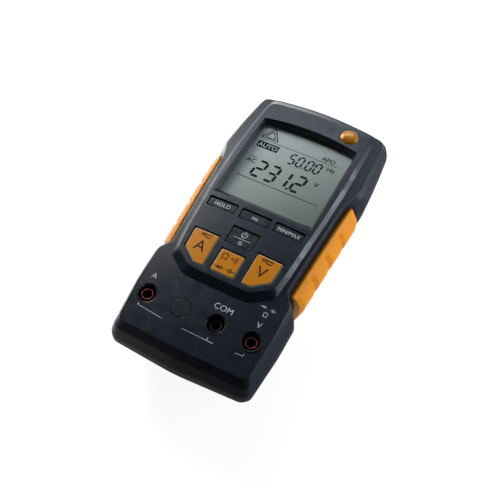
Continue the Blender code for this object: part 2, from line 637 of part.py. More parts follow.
def rear_cuts(shell):
    """Trough, pivot holes, battery bay, door seat, screw wells and foot recesses."""
    below = BACK_Z - 2
    cut_out(shell, prism("cut_trough", trough_outline(0.5), below, TROUGH_ROOF_Z))
    reach, radius = STAND_HALF_X + 3.4, STAND_PIN_RADIUS + 0.1
    cut_out(shell, turned_along("cut_pins", [(-reach, radius), (reach, radius)],
                                (0, STAND_AXIS_Y, STAND_AXIS_Z), None, "X", 14))
    cut_out(shell, box("cut_bay", (-BAY_HALF_X, BAY_LOW_Y, below), (BAY_HALF_X, BAY_HIGH_Y, BAY_ROOF_Z)))
    cut_out(shell, box("cut_door_seat", (-DOOR_HALF_X - GAP, DOOR_LOW_Y - GAP, below),
                       (DOOR_HALF_X + GAP, DOOR_HIGH_Y + GAP, BACK_Z + DOOR_THICK + GAP)))
    cut_out(shell, prism("cut_door_pilot", circle(0, DOOR_SCREW_Y, 1.6, 12), BACK_Z, 11.0))
    for name, (x, y) in CASE_SCREWS.items():
        cut_out(shell, prism("well_" + name, circle(x, y, 2.9, 14), below, 9.0))
        cut_out(shell, prism("shaft_" + name, circle(x, y, 1.6, 10), 8.0, PARTING_Z + 1))
    for name, (x, y) in FEET.items():
        cut_out(shell, prism("cut_foot_" + name, circle(x, y, FOOT_RADIUS + 0.2, 16), below, BACK_Z + 0.8))


def build_rear():
    shell = rear_shell()
    rear_blocks(shell)
    rear_cuts(shell)


def feet():
    for name, (x, y) in FEET.items():
        top = BACK_Z + 0.65
        profile = [(FOOT_RADIUS - 0.4, 0.0), (FOOT_RADIUS, 0.35), (FOOT_RADIUS, top)]
        turned("foot_" + name, profile, x, y, "foot_rubber", 16)


def stand():
    """U-shaped tilt stand with its pivot pins; the origin is on the hinge axis."""
    axis = (0, STAND_AXIS_Y, STAND_AXIS_Z)
    out, low, high = STAND_HALF_X, STAND_LOW_Y, STAND_AXIS_Y
    inside, cross, chamfer = out - STAND_BAR, low + STAND_BAR + 1.2, 2
    outline = [(-out, low + chamfer), (-out + chamfer, low), (out - chamfer, low), (out, low + chamfer),
               (out, high), (inside, high), (inside, cross), (-inside, cross), (-inside, high), (-out, high)]
    bail = prism("stand", outline, BACK_Z + GAP, BACK_Z + GAP + STAND_THICK, "case_plastic", axis)
    radius, pin = STAND_KNUCKLE_RADIUS, STAND_PIN_RADIUS
    for name, side in (("left", -1), ("right", 1)):
        ends = sorted((side * inside, side * out))
        add_on(bail, turned_along("knuckle_" + name, [(x, radius) for x in ends], axis, None, "X", 18))
        ends = sorted((side * (inside + 2), side * (out + 3.1)))
        add_on(bail, turned_along("pin_" + name, [(x, pin) for x in ends], axis, None, "X", 14))
    cut_out(bail, prism("stand_thumb", circle(0, low - 3.2, 6.0, 24), BACK_Z - 1, BACK_Z + 5))


def screw(name, x, y, head_z, tip_z, head_radius, shank_radius, slot="steel"):
    """Machine screw seen head first from behind, with a cross recess; the origin is on its axis."""
    neck = head_z + HEAD_THICK
    profile = [(head_radius - 0.5, head_z), (head_radius, head_z + 0.5), (head_radius, neck),
               (shank_radius, neck), (shank_radius, tip_z - 0.8), (shank_radius * 0.4, tip_z)]
    body = turned(name, profile, x, y, slot, 12, origin=(x, y, head_z))
    a, b = 0.4, head_radius * 0.62
    cross = [(a, -a), (b, -a), (b, a), (a, a), (a, b), (-a, b), (-a, a), (-b, a), (-b, -a), (-a, -a), (-a, -b),
             (a, -b)]
    cut_out(body, prism("recess_" + name, [(x + p, y + q) for p, q in cross], head_z - 1, head_z + 1.0))


def screws():
    for name, (x, y) in CASE_SCREWS.items():
        screw("case_screw_" + name, x, y, 7.1, 31.5, 2.5, 1.2)
    low = BOARD_TOP_Z - BOARD_THICK
    for name, (x, y) in BOARD_SCREWS.items():
        screw("board_screw_" + name, x, y, low - 0.2 - HEAD_THICK, 35.5, 2.3, 0.9)


def battery_door():
    """Flat door with finger ridges and a hole for its captive screw."""
    low_z, high_z = BACK_Z + 0.05, BACK_Z + DOOR_THICK
    door = box("battery_door", (-DOOR_HALF_X, DOOR_LOW_Y, low_z), (DOOR_HALF_X, DOOR_HIGH_Y, high_z),
               "case_plastic", (0, (DOOR_LOW_Y + DOOR_HIGH_Y) / 2, low_z))
    first_ridge, pitch, ridge_width, proud = 4.0, 2.2, 1.0, 0.45
    for k in range(5):
        y = first_ridge + pitch * k
        add_on(door, box(f"ridge_{k}", (-9, y, low_z - proud), (9, y + ridge_width, low_z + 0.4)))
    cut_out(door, prism("door_hole", circle(0, DOOR_SCREW_Y, 1.6, 14), low_z - 1, high_z + 1))
    cut_out(door, prism("door_sink", circle(0, DOOR_SCREW_Y, 2.9, 18), low_z - 1, low_z + 1.0))
    screw("door_screw", 0, DOOR_SCREW_Y, BACK_Z - 0.85, 10.4, 2.6, 1.3)


def coil(name, x, start_y, end_y, side):
    """Tapering contact spring along Y."""
    turns, per_turn, wire, sides = 3, 9, 0.3, 4
    wide, narrow = 3.3, 2.1
    steps = turns * per_turn
    rings = []
    for k in range(steps + 1):
        share = k / steps
        angle = 2 * math.pi * k / per_turn
        radius = wide + (narrow - wide) * share
        y = start_y + (end_y - start_y) * share
        ring = []
        for j in range(sides):
            t = 2 * math.pi * j / sides
            out = radius + wire * math.cos(t)
            ring.append((x + out * math.cos(angle), y + side * wire * math.sin(t),
                         CELL_Z + out * math.sin(angle)))
        rings.append(ring)
    place_mesh(name, *loft(rings), "steel")


def cell(number, x, start_y, side):
    """One AAA cell from its flat end at start_y to its nub."""
    shoulder = CELL_LENGTH - 1.0
    profile = [(0, 4.4), (0.4, CELL_RADIUS), (shoulder - 0.6, CELL_RADIUS), (shoulder, 4.5),
               (shoulder + 0.1, CELL_NUB_RADIUS), (CELL_LENGTH, CELL_NUB_RADIUS - 0.1)]
    profile = [(side * along, radius) for along, radius in profile]
    turned_along(f"battery_cell_{number}", profile, (x, start_y, CELL_Z), "cell_jacket", "Y", 16)


def battery():
    """Three cells in series, the middle one turned round, with their springs and contact plates."""
    low, high = BAY_LOW_Y + GAP, BAY_HIGH_Y - GAP - CONTACT_THICK
    for k in range(3):
        x = (k - 1) * CELL_PITCH
        side = -1 if k == 1 else 1
        plate_face = low + CONTACT_THICK if side == 1 else high
        flat_end = plate_face + side * SPRING_SPACE
        coil(f"battery_spring_{k + 1}", x, plate_face + side * 0.6, flat_end - side * 0.7, side)
        cell(k + 1, x, flat_end, side)
    double = CELL_PITCH / 2 + CONTACT_HALF - 0.1
    plates = {
        "contact_plate_1": (-CELL_PITCH, low, CONTACT_HALF),
        "contact_plate_2": (CELL_PITCH / 2, low, double),
        "contact_plate_3": (-CELL_PITCH / 2, high, double),
        "contact_plate_4": (CELL_PITCH, high, CONTACT_HALF),
    }
    for name, (x, y, half) in plates.items():
        box(name, (x - half, y, CELL_Z - CONTACT_HALF),
            (x + half, y + CONTACT_THICK, CELL_Z + CONTACT_HALF), "steel")


def build():
    clear_scene()
    build_front()
    build_rear()
    badge()
    for name in KEYS:
        key(name)
    keypad_mat()
    display()
    board()
    fuse()
    sockets()
    grips()
    stand()
    feet()
    screws()
    battery_door()
    battery()


build()
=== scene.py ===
"""Looks of a handheld digital multimeter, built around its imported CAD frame.

X is to the right across the face, Y runs up the case towards the display, Z out of the front.
Shapes are written in millimetres and become metres in mesh_object.
"""
import math

import bmesh
import bpy
import numpy as np
from mathutils import Matrix, Vector
from mathutils.geometry import delaunay_2d_cdt


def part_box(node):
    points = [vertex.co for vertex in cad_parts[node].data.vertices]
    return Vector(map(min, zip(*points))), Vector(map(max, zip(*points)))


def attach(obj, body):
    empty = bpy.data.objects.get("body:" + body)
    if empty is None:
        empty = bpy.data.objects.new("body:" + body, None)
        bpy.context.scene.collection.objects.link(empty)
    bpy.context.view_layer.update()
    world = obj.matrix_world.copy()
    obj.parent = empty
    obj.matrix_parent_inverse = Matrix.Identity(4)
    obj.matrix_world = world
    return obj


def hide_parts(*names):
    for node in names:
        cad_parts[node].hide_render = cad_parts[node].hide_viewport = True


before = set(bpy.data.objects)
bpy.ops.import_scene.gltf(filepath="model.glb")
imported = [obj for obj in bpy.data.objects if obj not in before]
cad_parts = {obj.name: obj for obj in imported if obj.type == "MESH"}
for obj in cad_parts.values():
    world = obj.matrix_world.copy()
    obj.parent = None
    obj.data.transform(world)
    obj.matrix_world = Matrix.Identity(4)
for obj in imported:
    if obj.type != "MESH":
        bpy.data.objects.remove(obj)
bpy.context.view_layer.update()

MM = 0.001

# ---------------------------------------------------------------- shape of the case
FACE_TOP_Z = 44.995
ARCH_CENTRE_Y = -4.0
CROSS_CROWN = 0.0014
LONG_ARCH = 0.00084
PLANE_DEPTH = 2.5
EDGE_DEPTH = 5.9
WALL_DEPTH = 10.5
PARTING_Z = 24.5
BACK_Z = 1.2
SCREEN_DEPTH = 3.1
DISPLAY_DEPTH = 1.75
SHELL_DEPTH, PLANE_SHELL_DEPTH = 3.4, 4.9
WALL_THICK = 2.2
SCREEN_LOW_Y, SCREEN_HIGH_Y = 6.1, 66.0
SOCKETS = ("amps", "com", "volts")
BADGE = (19.3, 71.6)
CASE_SCREWS = {"upper_left": (-27.0, 70.5), "upper_right": (27.0, 70.5),
               "lower_left": (-19.0, -67.0), "lower_right": (19.0, -67.0)}
BOARD_SCREWS = {"left": (-22.0, -43.5), "right": (22.0, -43.5)}
BAY_HALF_X, BAY_LOW_Y, BAY_HIGH_Y, BAY_ROOF_Z = 17.4, -38.5, 14.5, 16.5
DOOR_HALF_X, DOOR_LOW_Y, DOOR_HIGH_Y, DOOR_THICK = 19.3, -47.5, 16.3, 1.9
DOOR_SCREW_Y = -43.6
STAND_AXIS_Y, STAND_AXIS_Z = 22.0, 3.5
STAND_HALF_X, STAND_BAR, STAND_LOW_Y, STAND_CROSS_EXTRA = 30.0, 6.0, -58.0, 1.2
TROUGH_ROOF_Z = 5.9
CELL_Z = 10.4

# Half outlines run from the top centre down the right side to the bottom centre.
PANEL_TOP = [(0, 78.2), (14, 77.8), (26.5, 76.8), (28.9, 76.0), (30.2, 74.0), (30.9, 58), (31.0, 42),
             (30.9, 36), (30.3, 14), (27.8, -22), (26.4, -32.0), (21.2, -35.4), (16.5, -38.6), (8, -39.0),
             (0, -39.0)]
PANEL_FOOT = [(0, 83.0), (15, 82.5), (28.6, 81.4), (31.3, 80.2), (32.3, 76.5), (33.0, 58), (33.1, 42),
              (33.0, 36), (32.2, 14), (30.1, -22), (28.8, -34.8), (23.5, -38.8), (18.2, -42.7), (9, -43.3),
              (0, -43.3)]
PLANE_EDGE = [(0, 83.9), (15, 83.4), (33.8, 81.3), (35.7, 80.4), (36.4, 78.3), (37.9, 61), (38.9, 40.8),
              (37.3, 35.7), (35.6, 29.8), (32.0, -28.5), (36.7, -34.0), (36.9, -54), (35.3, -74.0),
              (32.8, -76.5), (0, -77.6)]
CASE_EDGE = [(0, 85.0), (15, 84.5), (35.2, 82.6), (37.9, 81.3), (38.9, 78.6), (40.4, 60.5), (41.3, 41.0),
             (38.5, 35.3), (36.1, 30.4), (32.9, -29.0), (38.9, -35.2), (38.8, -54.5), (37.1, -77.2),
             (34.2, -79.8), (0, -81.0)]
CASE_WALL = [(0, 85.0), (15, 84.6), (35.8, 82.9), (38.8, 81.6), (40.0, 78.6), (41.5, 60), (42.2, 40.0),
             (41.3, 34.2), (38.2, 33.6), (34.9, -31.8), (40.6, -37.4), (40.5, -55), (38.5, -79.6),
             (35.2, -82.5), (0, -84.4)]
CASE_RIM = [(0, 85.0), (15, 84.6), (35.8, 82.9), (38.8, 81.6), (40.2, 78.6), (42.0, 60), (43.0, 38.0),
            (42.6, 31.6), (38.2, 31.4), (34.9, -31.8), (40.8, -37.4), (40.6, -55), (38.6, -79.9),
            (35.2, -83.1), (0, -85.0)]
BACK_EDGE = [(0, 78.0), (15, 77.6), (29.2, 76.2), (32.4, 74.6), (33.8, 71.5), (34.8, 56), (35.4, 38.6),
             (35.2, 33.6), (34.4, 32.2), (32.4, -33.4), (34.2, -38.2), (33.6, -54), (31.4, -68.0),
             (28.4, -71.2), (0, -72.8)]
# How far from each key point its corner starts to turn, in mm, and the steps on the straight after it.
TURN = [6, 7, 1.6, 1.2, 1.8, 8, 5, 3, 3, 1.6, 2.0, 4, 1.8, 2.4, 6]
STEPS = [3, 4, 1, 1, 3, 3, 1, 1, 10, 2, 3, 4, 1, 5]
ARC = 4
KEY_TURN = 0.8
KEY_TOPS = {"dark": 0.62, "orange": 0.25}

KEYS = {
    "key_hold": ([(-27.3, 2.8), (-10.5, 2.8), (-10.5, -3.2), (-26.9, -3.2)], "dark"),
    "key_frequency": ([(-8.4, 2.6), (8.4, 2.6), (8.4, -3.4), (-8.4, -3.4)], "dark"),
    "key_min_max": ([(10.5, 2.8), (27.3, 2.8), (26.9, -3.2), (10.5, -3.2)], "dark"),
    "key_power": ([(-7.7, -8.6), (7.7, -8.6), (7.7, -19.15), (-7.7, -19.15)], "dark"),
    "key_ohms": ([(-7.0, -22.4), (7.0, -22.4), (7.0, -36.4), (-7.0, -36.4)], "orange"),
    "key_amps": ([(-25.2, -17.2), (-10.3, -17.2), (-9.9, -36.3), (-15.7, -36.3), (-24.5, -29.6)], "orange"),
    "key_volts": ([(10.3, -17.2), (25.2, -17.2), (24.5, -29.6), (15.7, -36.3), (9.9, -36.3)], "orange"),
}


def centre(node):
    """Middle of a CAD node seen from the front."""
    low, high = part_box(node)
    return (low.x + high.x) / 2 / MM, (low.y + high.y) / 2 / MM


def face_z(x, y, depth=0.0):
    """Height of the arched front face, or of the surface a given depth under it."""
    return FACE_TOP_Z - CROSS_CROWN * x * x - LONG_ARCH * (y - ARCH_CENTRE_Y) ** 2 - depth


def screen_z(y, depth=0.0):
    """Height of the flat tilted screen plane at y."""
    low = face_z(0, SCREEN_LOW_Y, SCREEN_DEPTH)
    high = face_z(0, SCREEN_HIGH_Y, SCREEN_DEPTH)
    return low + (high - low) * (y - SCREEN_LOW_Y) / (SCREEN_HIGH_Y - SCREEN_LOW_Y) - depth


# ---------------------------------------------------------------- outlines
def grown(outline, distance):
    """A closed outline moved outwards by a distance, or inwards if it is negative."""
    count = len(outline)
    area = sum(outline[i][0] * outline[(i + 1) % count][1] - outline[(i + 1) % count][0] * outline[i][1]
               for i in range(count))
    side = 1 if area > 0 else -1
    moved = []
    for i, (x, y) in enumerate(outline):
        before, after = outline[i - 1], outline[(i + 1) % count]
        first = Vector((x - before[0], y - before[1])).normalized()
        second = Vector((after[0] - x, after[1] - y)).normalized()
        across = Vector((first.y + second.y, -first.x - second.x)) * side
        across.normalize()
        share = max(0.35, across.dot(Vector((first.y, -first.x)) * side))
        moved.append((x + across.x * distance / share, y + across.y * distance / share))
    return moved


def turned_corners(points, turns, steps, arc=ARC):
    """A closed outline whose corners become arcs, with a set number of steps on each straight."""
    count = len(points)
    cuts = []
    for i in range(count):
        here = Vector(points[i])
        before, after = Vector(points[i - 1]), Vector(points[(i + 1) % count])
        cuts.append(min(turns[i], 0.46 * (before - here).length, 0.46 * (after - here).length))
    made = []
    for i in range(count):
        here = Vector(points[i])
        before, after = Vector(points[i - 1]), Vector(points[(i + 1) % count])
        start = here + (before - here).normalized() * cuts[i]
        end = here + (after - here).normalized() * cuts[i]
        for k in range(arc + 1):
            t = k / arc
            made.append(start * (1 - t) ** 2 + here * 2 * t * (1 - t) + end * t * t)
        following = after + (here - after).normalized() * cuts[(i + 1) % count]
        for k in range(1, steps[i]):
            made.append(end.lerp(following, k / steps[i]))
    return [(p.x, p.y) for p in made]


def whole(half, grow=0.0):
    """A smooth closed outline from its right half, moved outwards by grow."""
    points = list(half) + [(-x, y) for x, y in reversed(half[1:-1])]
    if grow:
        points = grown(points, grow)
    turns = TURN + list(reversed(TURN[1:-1]))
    steps = STEPS + list(reversed(STEPS))
    return turned_corners(points, turns, steps)


def rounded(points, radius, arc=4, step=5.0, grow=0.0):
    """A closed polygon with small rounded corners, moved outwards by grow; its point count ignores grow."""
    count = len(points)
    steps = [max(1, round(math.dist(points[i], points[(i + 1) % count]) / step)) for i in range(count)]
    if grow:
        points = grown(points, grow)
    return turned_corners(points, [radius] * count, steps, arc)


def circle(x, y, radius, count=48):
    turns = [2 * math.pi * i / count for i in range(count)]
    return [(x + radius * math.cos(t), y + radius * math.sin(t)) for t in turns]


def on_face(outline, depth):
    return [(x, y, face_z(x, y, depth)) for x, y in outline]


def on_screen(outline, depth):
    return [(x, y, screen_z(y, depth)) for x, y in outline]


def at_height(outline, z):
    return [(x, y, z) for x, y in outline]


def filleted(rings, radii, steps=3):
    """Rings with the edge at each inner ring rounded by its radius."""
    made = [rings[0]]
    for k in range(1, len(rings) - 1):
        radius = radii[k - 1]
        if not radius:
            made.append(rings[k])
            continue
        fans = [[] for _ in range(steps + 1)]
        for before, here, after in zip(rings[k - 1], rings[k], rings[k + 1]):
            before, here, after = Vector(before), Vector(here), Vector(after)
            cut = min(radius, 0.48 * (before - here).length, 0.48 * (after - here).length)
            start = here + (before - here).normalized() * cut
            end = here + (after - here).normalized() * cut
            for j in range(steps + 1):
                t = j / steps
                point = start * (1 - t) ** 2 + here * 2 * t * (1 - t) + end * t * t
                fans[j].append(tuple(point))
        made += fans
    return made + [rings[-1]]


# ---------------------------------------------------------------- meshes
def inside(points, outline):
    """Which of the points lie inside a closed outline."""
    ring = np.array(outline)
    x1, y1 = ring[:, 0], ring[:, 1]
    x2, y2 = np.roll(x1, -1), np.roll(y1, -1)
    px, py = points[:, 0:1], points[:, 1:2]
    spans = (y1 > py) != (y2 > py)
    rise = np.where(y2 == y1, 1e-12, y2 - y1)
    return (spans & (px < (x2 - x1) * (py - y1) / rise + x1)).sum(1) % 2 == 1


def distance_to(points, outline):
    """Distance from each point to a closed outline."""
    ring = np.array(outline)
    start, along = ring, np.roll(ring, -1, 0) - ring
    length = np.maximum((along ** 2).sum(1), 1e-12)
    offset = points[:, None, :] - start[None]
    t = np.clip((offset * along).sum(2) / length, 0, 1)
    return np.sqrt(((offset - t[..., None] * along) ** 2).sum(2).min(1))


class Skin:
    """Faces gathered by the places of their corners, so that pieces of surface join where they meet."""

    def __init__(self):
        self.lookup, self.points, self.faces = {}, [], []

    def corner(self, place):
        key = tuple(round(c * 1000) for c in place)
        if key not in self.lookup:
            self.lookup[key] = len(self.points)
            self.points.append(tuple(place))
        return self.lookup[key]

    def face(self, places):
        ids = []
        for place in places:
            number = self.corner(place)
            if number not in ids:
                ids.append(number)
        if len(ids) > 2:
            self.faces.append(ids)

    def strip(self, rings, loop=False):
        """Quads between rings that have the same number of points."""
        pairs = list(zip(rings, rings[1:])) + ([(rings[-1], rings[0])] if loop else [])
        for first, second in pairs:
            for i in range(len(first)):
                j = (i + 1) % len(first)
                self.face([first[i], first[j], second[j], second[i]])

    def fill(self, outer, holes, spacing=4.0):
        """A sheet inside a ring of (x, y, z) points and around the holes, following a height function."""
        ring, height = outer
        flat = [[(x, y) for x, y, _ in loop] for loop in [ring] + holes]
        whole_ring = np.array(flat[0])
        low, high = whole_ring.min(0), whole_ring.max(0)
        rows = np.arange(low[1], high[1], spacing * 0.87)
        grid = np.array([(x + (k % 2) * spacing / 2, y) for k, y in enumerate(rows)
                         for x in np.arange(low[0], high[0], spacing)])
        keep = inside(grid, flat[0])
        for loop in flat[1:]:
            keep &= ~inside(grid, loop)
        grid = grid[keep]
        for loop in flat:
            grid = grid[distance_to(grid, loop) > spacing * 0.45]
        points, edges, known = [], [], {}
        for loop, places in zip(flat, [ring] + holes):
            first = len(points)
            points += [Vector(p) for p in loop]
            edges += [(first + i, first + (i + 1) % len(loop)) for i in range(len(loop))]
            known.update({first + i: place for i, place in enumerate(places)})
        points += [Vector(p) for p in grid]
        out, _, faces, origins, _, _ = delaunay_2d_cdt(points, edges, [], 0, 1e-7)
        centres = np.array([[sum(out[v].x for v in face) / 3, sum(out[v].y for v in face) / 3]
                            for face in faces])
        keep = inside(centres, flat[0])
        for loop in flat[1:]:
            keep &= ~inside(centres, loop)
        for face, good in zip(faces, keep):
            if good:
                self.face([self.place(out[v], origins[v], known, height) for v in face])

    @staticmethod
    def place(point, origins, known, height):
        for origin in origins:
            if origin in known:
                return known[origin]
        return point.x, point.y, height(point.x, point.y)


def solid(rings):
    """A closed shape over rings with the same number of points."""
    skin = Skin()
    skin.strip(rings)
    skin.face(rings[0])
    skin.face(rings[-1])
    return skin


def mesh_object(name, points, faces):
    """An object with its faces pointing out, from points in millimetres."""
    mesh = bpy.data.meshes.new(name)
    mesh.from_pydata([tuple(c * MM for c in p) for p in points], [], faces)
    built = bmesh.new()
    built.from_mesh(mesh)
    bmesh.ops.recalc_face_normals(built, faces=built.faces)
    built.to_mesh(mesh)
    built.free()
    obj = bpy.data.objects.new(name, mesh)
    bpy.context.scene.collection.objects.link(obj)
    return obj


def add_piece(name, points, faces, body, finish, slot=None, stands_for=(), sharp=32, weighted=True,
              flat=False):
    """A mesh piece that rides on a CAD body."""
    obj = mesh_object(name, points, faces)
    mesh = obj.data
    mesh.materials.append(finish)
    if not flat:
        mesh.shade_smooth()
        mesh.set_sharp_from_angle(angle=math.radians(sharp))
    if weighted:
        even = obj.modifiers.new("even_shading", "WEIGHTED_NORMAL")
        even.keep_sharp = True
        even.weight = 80
    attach(obj, body)
    if stands_for:
        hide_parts(*stands_for)
    return obj


def add_skin(name, skin, body, finish, **more):
    return add_piece(name, skin.points, skin.faces, body, finish, **more)


def add_bevel(obj, width, segments=2, angle=28):
    """Rounded edges on a plain faceted piece, before its shading is evened."""
    edge = obj.modifiers.new("soft_edges", "BEVEL")
    edge.width = width * MM
    edge.segments = segments
    edge.limit_method = "ANGLE"
    edge.angle_limit = math.radians(angle)
    edge.harden_normals = False
    while obj.modifiers[0] != edge:
        obj.modifiers.move(obj.modifiers.find(edge.name), 0)
        edge = obj.modifiers["soft_edges"]
    return obj


def lathe(name, profile, x, y, body, finish, count=64, loop=False, **more):
    """A round piece on a vertical axis from (radius, z) pairs, closed by flat ends or into a loop."""
    rings = [at_height(circle(x, y, max(r, 0.001), count), z) for r, z in profile]
    if loop:
        skin = Skin()
        skin.strip(rings, loop)
    else:
        skin = solid(rings)
    return add_skin(name, skin, body, finish, **more)


# ---------------------------------------------------------------- finishes
class Shading:
    """Short calls that add shader nodes; a socket takes a value or another node's output."""

    def __init__(self, owner):
        owner.use_nodes = True
        self.nodes, self.links = owner.node_tree.nodes, owner.node_tree.links

    def give(self, socket, value):
        if isinstance(value, bpy.types.NodeSocket):
            self.links.new(value, socket)
        elif socket.type == "RGBA":
            socket.default_value = (*value, 1.0)
        else:
            socket.default_value = value

    def node(self, kind, inputs=None, output=0, **settings):
        """The chosen output of a new node."""
        made = self.nodes.new("ShaderNode" + kind)
        for name, value in settings.items():
            setattr(made, name, value)
        for socket, value in (inputs or {}).items():
            self.give(made.inputs[socket], value)
        return made.outputs[output]

    def math(self, operation, first, second):
        return self.node("Math", {0: first, 1: second}, operation=operation)

    def axis(self, vector, letter):
        return self.node("SeparateXYZ", {"Vector": vector}, letter)

    def ray(self, kind):
        return self.node("LightPath", output=f"Is {kind} Ray")

    def ranged(self, value, low, high, from_low=0.0, from_high=1.0):
        """A value mapped from one range to another and held inside it."""
        return self.node("MapRange", {"Value": value, "From Min": from_low, "From Max": from_high,
                                      "To Min": low, "To Max": high})

    def mix(self, share, first, second):
        """A colour between two others."""
        return self.node("Mix", {MIX_SHARE: share, MIX_FIRST: first, MIX_SECOND: second}, MIX_COLOUR,
                         data_type="RGBA")


# Places of the colour sockets on a Mix node.
MIX_SHARE, MIX_FIRST, MIX_SECOND, MIX_COLOUR = 0, 6, 7, 2
BLACK, WHITE = (0.0, 0.0, 0.0), (1.0, 1.0, 1.0)


def finish(name, colour, rough=0.5, metallic=0.0, grain=0.0, grain_size=0.35, mottle=0.08, edge_wear_and_highlight=0.0,
           edge_wear_and_highlight_colour=None, coat=0.0, speckle=0.0, streak=0.0, subsurface=0.0, alpha=1.0, gloss=0.5):
    """Moulded or metal surface: mottled colour, fine grain, lightened edges, uneven gloss; the lightened
    edges are wear, and on the case they are painted edge highlights.
    """
    made = bpy.data.materials.new(name)
    tree = Shading(made)
    where = tree.node("TexCoord", output="Object")

    def noise(size, detail, stretch=None):
        source = tree.node("Mapping", {"Scale": stretch, "Vector": where}) if stretch else where
        return tree.node("TexNoise", {"Scale": 1.0 / (size * MM), "Detail": detail, "Vector": source})

    def patches(field, low, high, from_low=0.3, from_high=0.7):
        return tree.ranged(field, low, high, from_low, from_high)

    def shade(factor, lift=0.0):
        return tuple(min(1.0, c * factor + lift) for c in colour)

    tone = tree.mix(patches(noise(14.0, 2.0), 0.0, 1.0), shade(1 - mottle), shade(1 + mottle))
    if speckle:
        flecks = patches(noise(grain_size * 1.6, 2.0), 0.0, speckle, 0.52, 0.72)
        tone = tree.mix(flecks, tone, shade(1.8, 0.01))
    if streak:
        tone = tree.mix(patches(noise(0.5, 2.0, (1.0, 0.03, 1.0)), 0.0, streak), tone, shade(0.6))
    # Lightened convex edges, picked by pointiness: wear on most finishes, painted edge highlights on the
    # case.
    if edge_wear_and_highlight:
        edge = tree.node("NewGeometry", output="Pointiness")
        tone = tree.mix(patches(edge, 0.0, edge_wear_and_highlight, 0.51, 0.56), tone, edge_wear_and_highlight_colour or shade(1.9, 0.02))
    settings = {
        "Base Color": tone, "Metallic": metallic, "Specular IOR Level": gloss, "Alpha": alpha,
        "Roughness": patches(noise(5.0, 4.0), max(0.02, rough - 0.07), min(1.0, rough + 0.07)),
        "Coat Weight": coat, "Coat Roughness": 0.12, "Subsurface Weight": subsurface}
    if grain:
        settings["Normal"] = tree.node("Bump", {"Strength": grain, "Distance": 0.05 * MM,
                                                "Height": noise(grain_size, 4.0)})
    for socket, value in settings.items():
        tree.give(tree.nodes["Principled BSDF"].inputs[socket], value)
    return made


FINISHES = {
    # The case's lightened edges are painted highlights: pale lines along its edges where the light catches
    # them.
    "case": finish("moulded_case", (0.016, 0.021, 0.034), 0.36, grain=0.5, grain_size=0.30, mottle=0.10,
                   edge_wear_and_highlight=0.7, edge_wear_and_highlight_colour=(0.12, 0.135, 0.17), speckle=0.15, gloss=0.5),
    "rear": finish("moulded_rear", (0.021, 0.026, 0.038), 0.50, grain=0.75, grain_size=0.45, mottle=0.10,
                   edge_wear_and_highlight=0.3, speckle=0.25),
    "grip": finish("grip_rubber_orange", (1.0, 0.34, 0.012), 0.50, grain=0.45, grain_size=0.5, mottle=0.06,
                   edge_wear_and_highlight=0.25, speckle=0.10, gloss=0.3),
    "orange": finish("key_orange", (1.0, 0.335, 0.004), 0.38, grain=0.25, grain_size=0.4, mottle=0.05,
                     edge_wear_and_highlight=0.3, edge_wear_and_highlight_colour=(0.92, 0.50, 0.14), coat=0.1, gloss=0.3),
    # Painted highlight: the pale cream rim that the light makes on the orange keys.
    "orange_painted_rim_highlight": finish("key_orange_painted_rim_highlight", (1.0, 0.84, 0.50), 0.30, mottle=0.05, coat=0.5),
    "dark": finish("key_dark", (0.034, 0.037, 0.045), 0.27, grain=0.3, grain_size=0.5, mottle=0.15,
                   edge_wear_and_highlight=0.4, coat=0.15),
    "cover": finish("socket_cover", (0.014, 0.019, 0.030), 0.42, grain=0.15, mottle=0.08, gloss=0.4),
    "pane": finish("clear_pane", (0.30, 0.34, 0.33), 0.09, alpha=0.03, mottle=0.02, gloss=0.3),
    "diffuser": finish("diffuser_white", (0.80, 0.81, 0.79), 0.4, mottle=0.03, subsurface=0.1),
    "silicone": finish("silicone_grey", (0.35, 0.36, 0.37), 0.65, grain=0.3, mottle=0.06, subsurface=0.05),
    "black": finish("socket_black", (0.010, 0.010, 0.012), 0.42, grain=0.3, mottle=0.2, edge_wear_and_highlight=0.3),
    "red": finish("socket_red", (0.36, 0.014, 0.022), 0.35, mottle=0.12, coat=0.2),
    "brass": finish("turned_brass", (0.72, 0.52, 0.24), 0.30, 1.0, mottle=0.12, streak=0.4),
    "steel": finish("plated_steel", (0.60, 0.60, 0.62), 0.28, 1.0, mottle=0.10, streak=0.35, edge_wear_and_highlight=0.3),
    "ceramic": finish("fuse_ceramic", (0.84, 0.82, 0.76), 0.45, grain=0.3, mottle=0.05, speckle=0.15),
    "chip": finish("chip_black", (0.018, 0.018, 0.020), 0.55, grain=0.5, mottle=0.15, speckle=0.2),
    "bronze": finish("badge_bronze", (0.66, 0.23, 0.010), 0.26, 0.35, mottle=0.3, edge_wear_and_highlight=0.3,
                     edge_wear_and_highlight_colour=(0.85, 0.45, 0.12), coat=0.4),
    "stand": finish("moulded_stand", (0.015, 0.019, 0.029), 0.42, grain=0.6, grain_size=0.4, mottle=0.10,
                    edge_wear_and_highlight=0.35, speckle=0.2),
    "jacket": finish("cell_jacket", (0.050, 0.085, 0.160), 0.28, mottle=0.06, coat=0.3, streak=0.1),
    "jacket_band": finish("cell_band", (0.62, 0.63, 0.66), 0.30, 0.7, mottle=0.05, coat=0.3),
    "foot": finish("foot_rubber", (0.020, 0.020, 0.022), 0.82, grain=0.8, grain_size=0.5, mottle=0.15),
    "shunt": finish("shunt_wire", (0.58, 0.40, 0.27), 0.34, 1.0, mottle=0.15, streak=0.5),
    "white_print": finish("white_print", (0.86, 0.88, 0.90), 0.55, grain=0.2, mottle=0.06, speckle=0.05),
    "brown_print": finish("brown_print", (0.020, 0.007, 0.003), 0.6, grain=0.2, mottle=0.12, gloss=0.2),
    "ink": finish("display_ink", (0.006, 0.008, 0.009), 0.7, mottle=0.15, gloss=0.05),
}


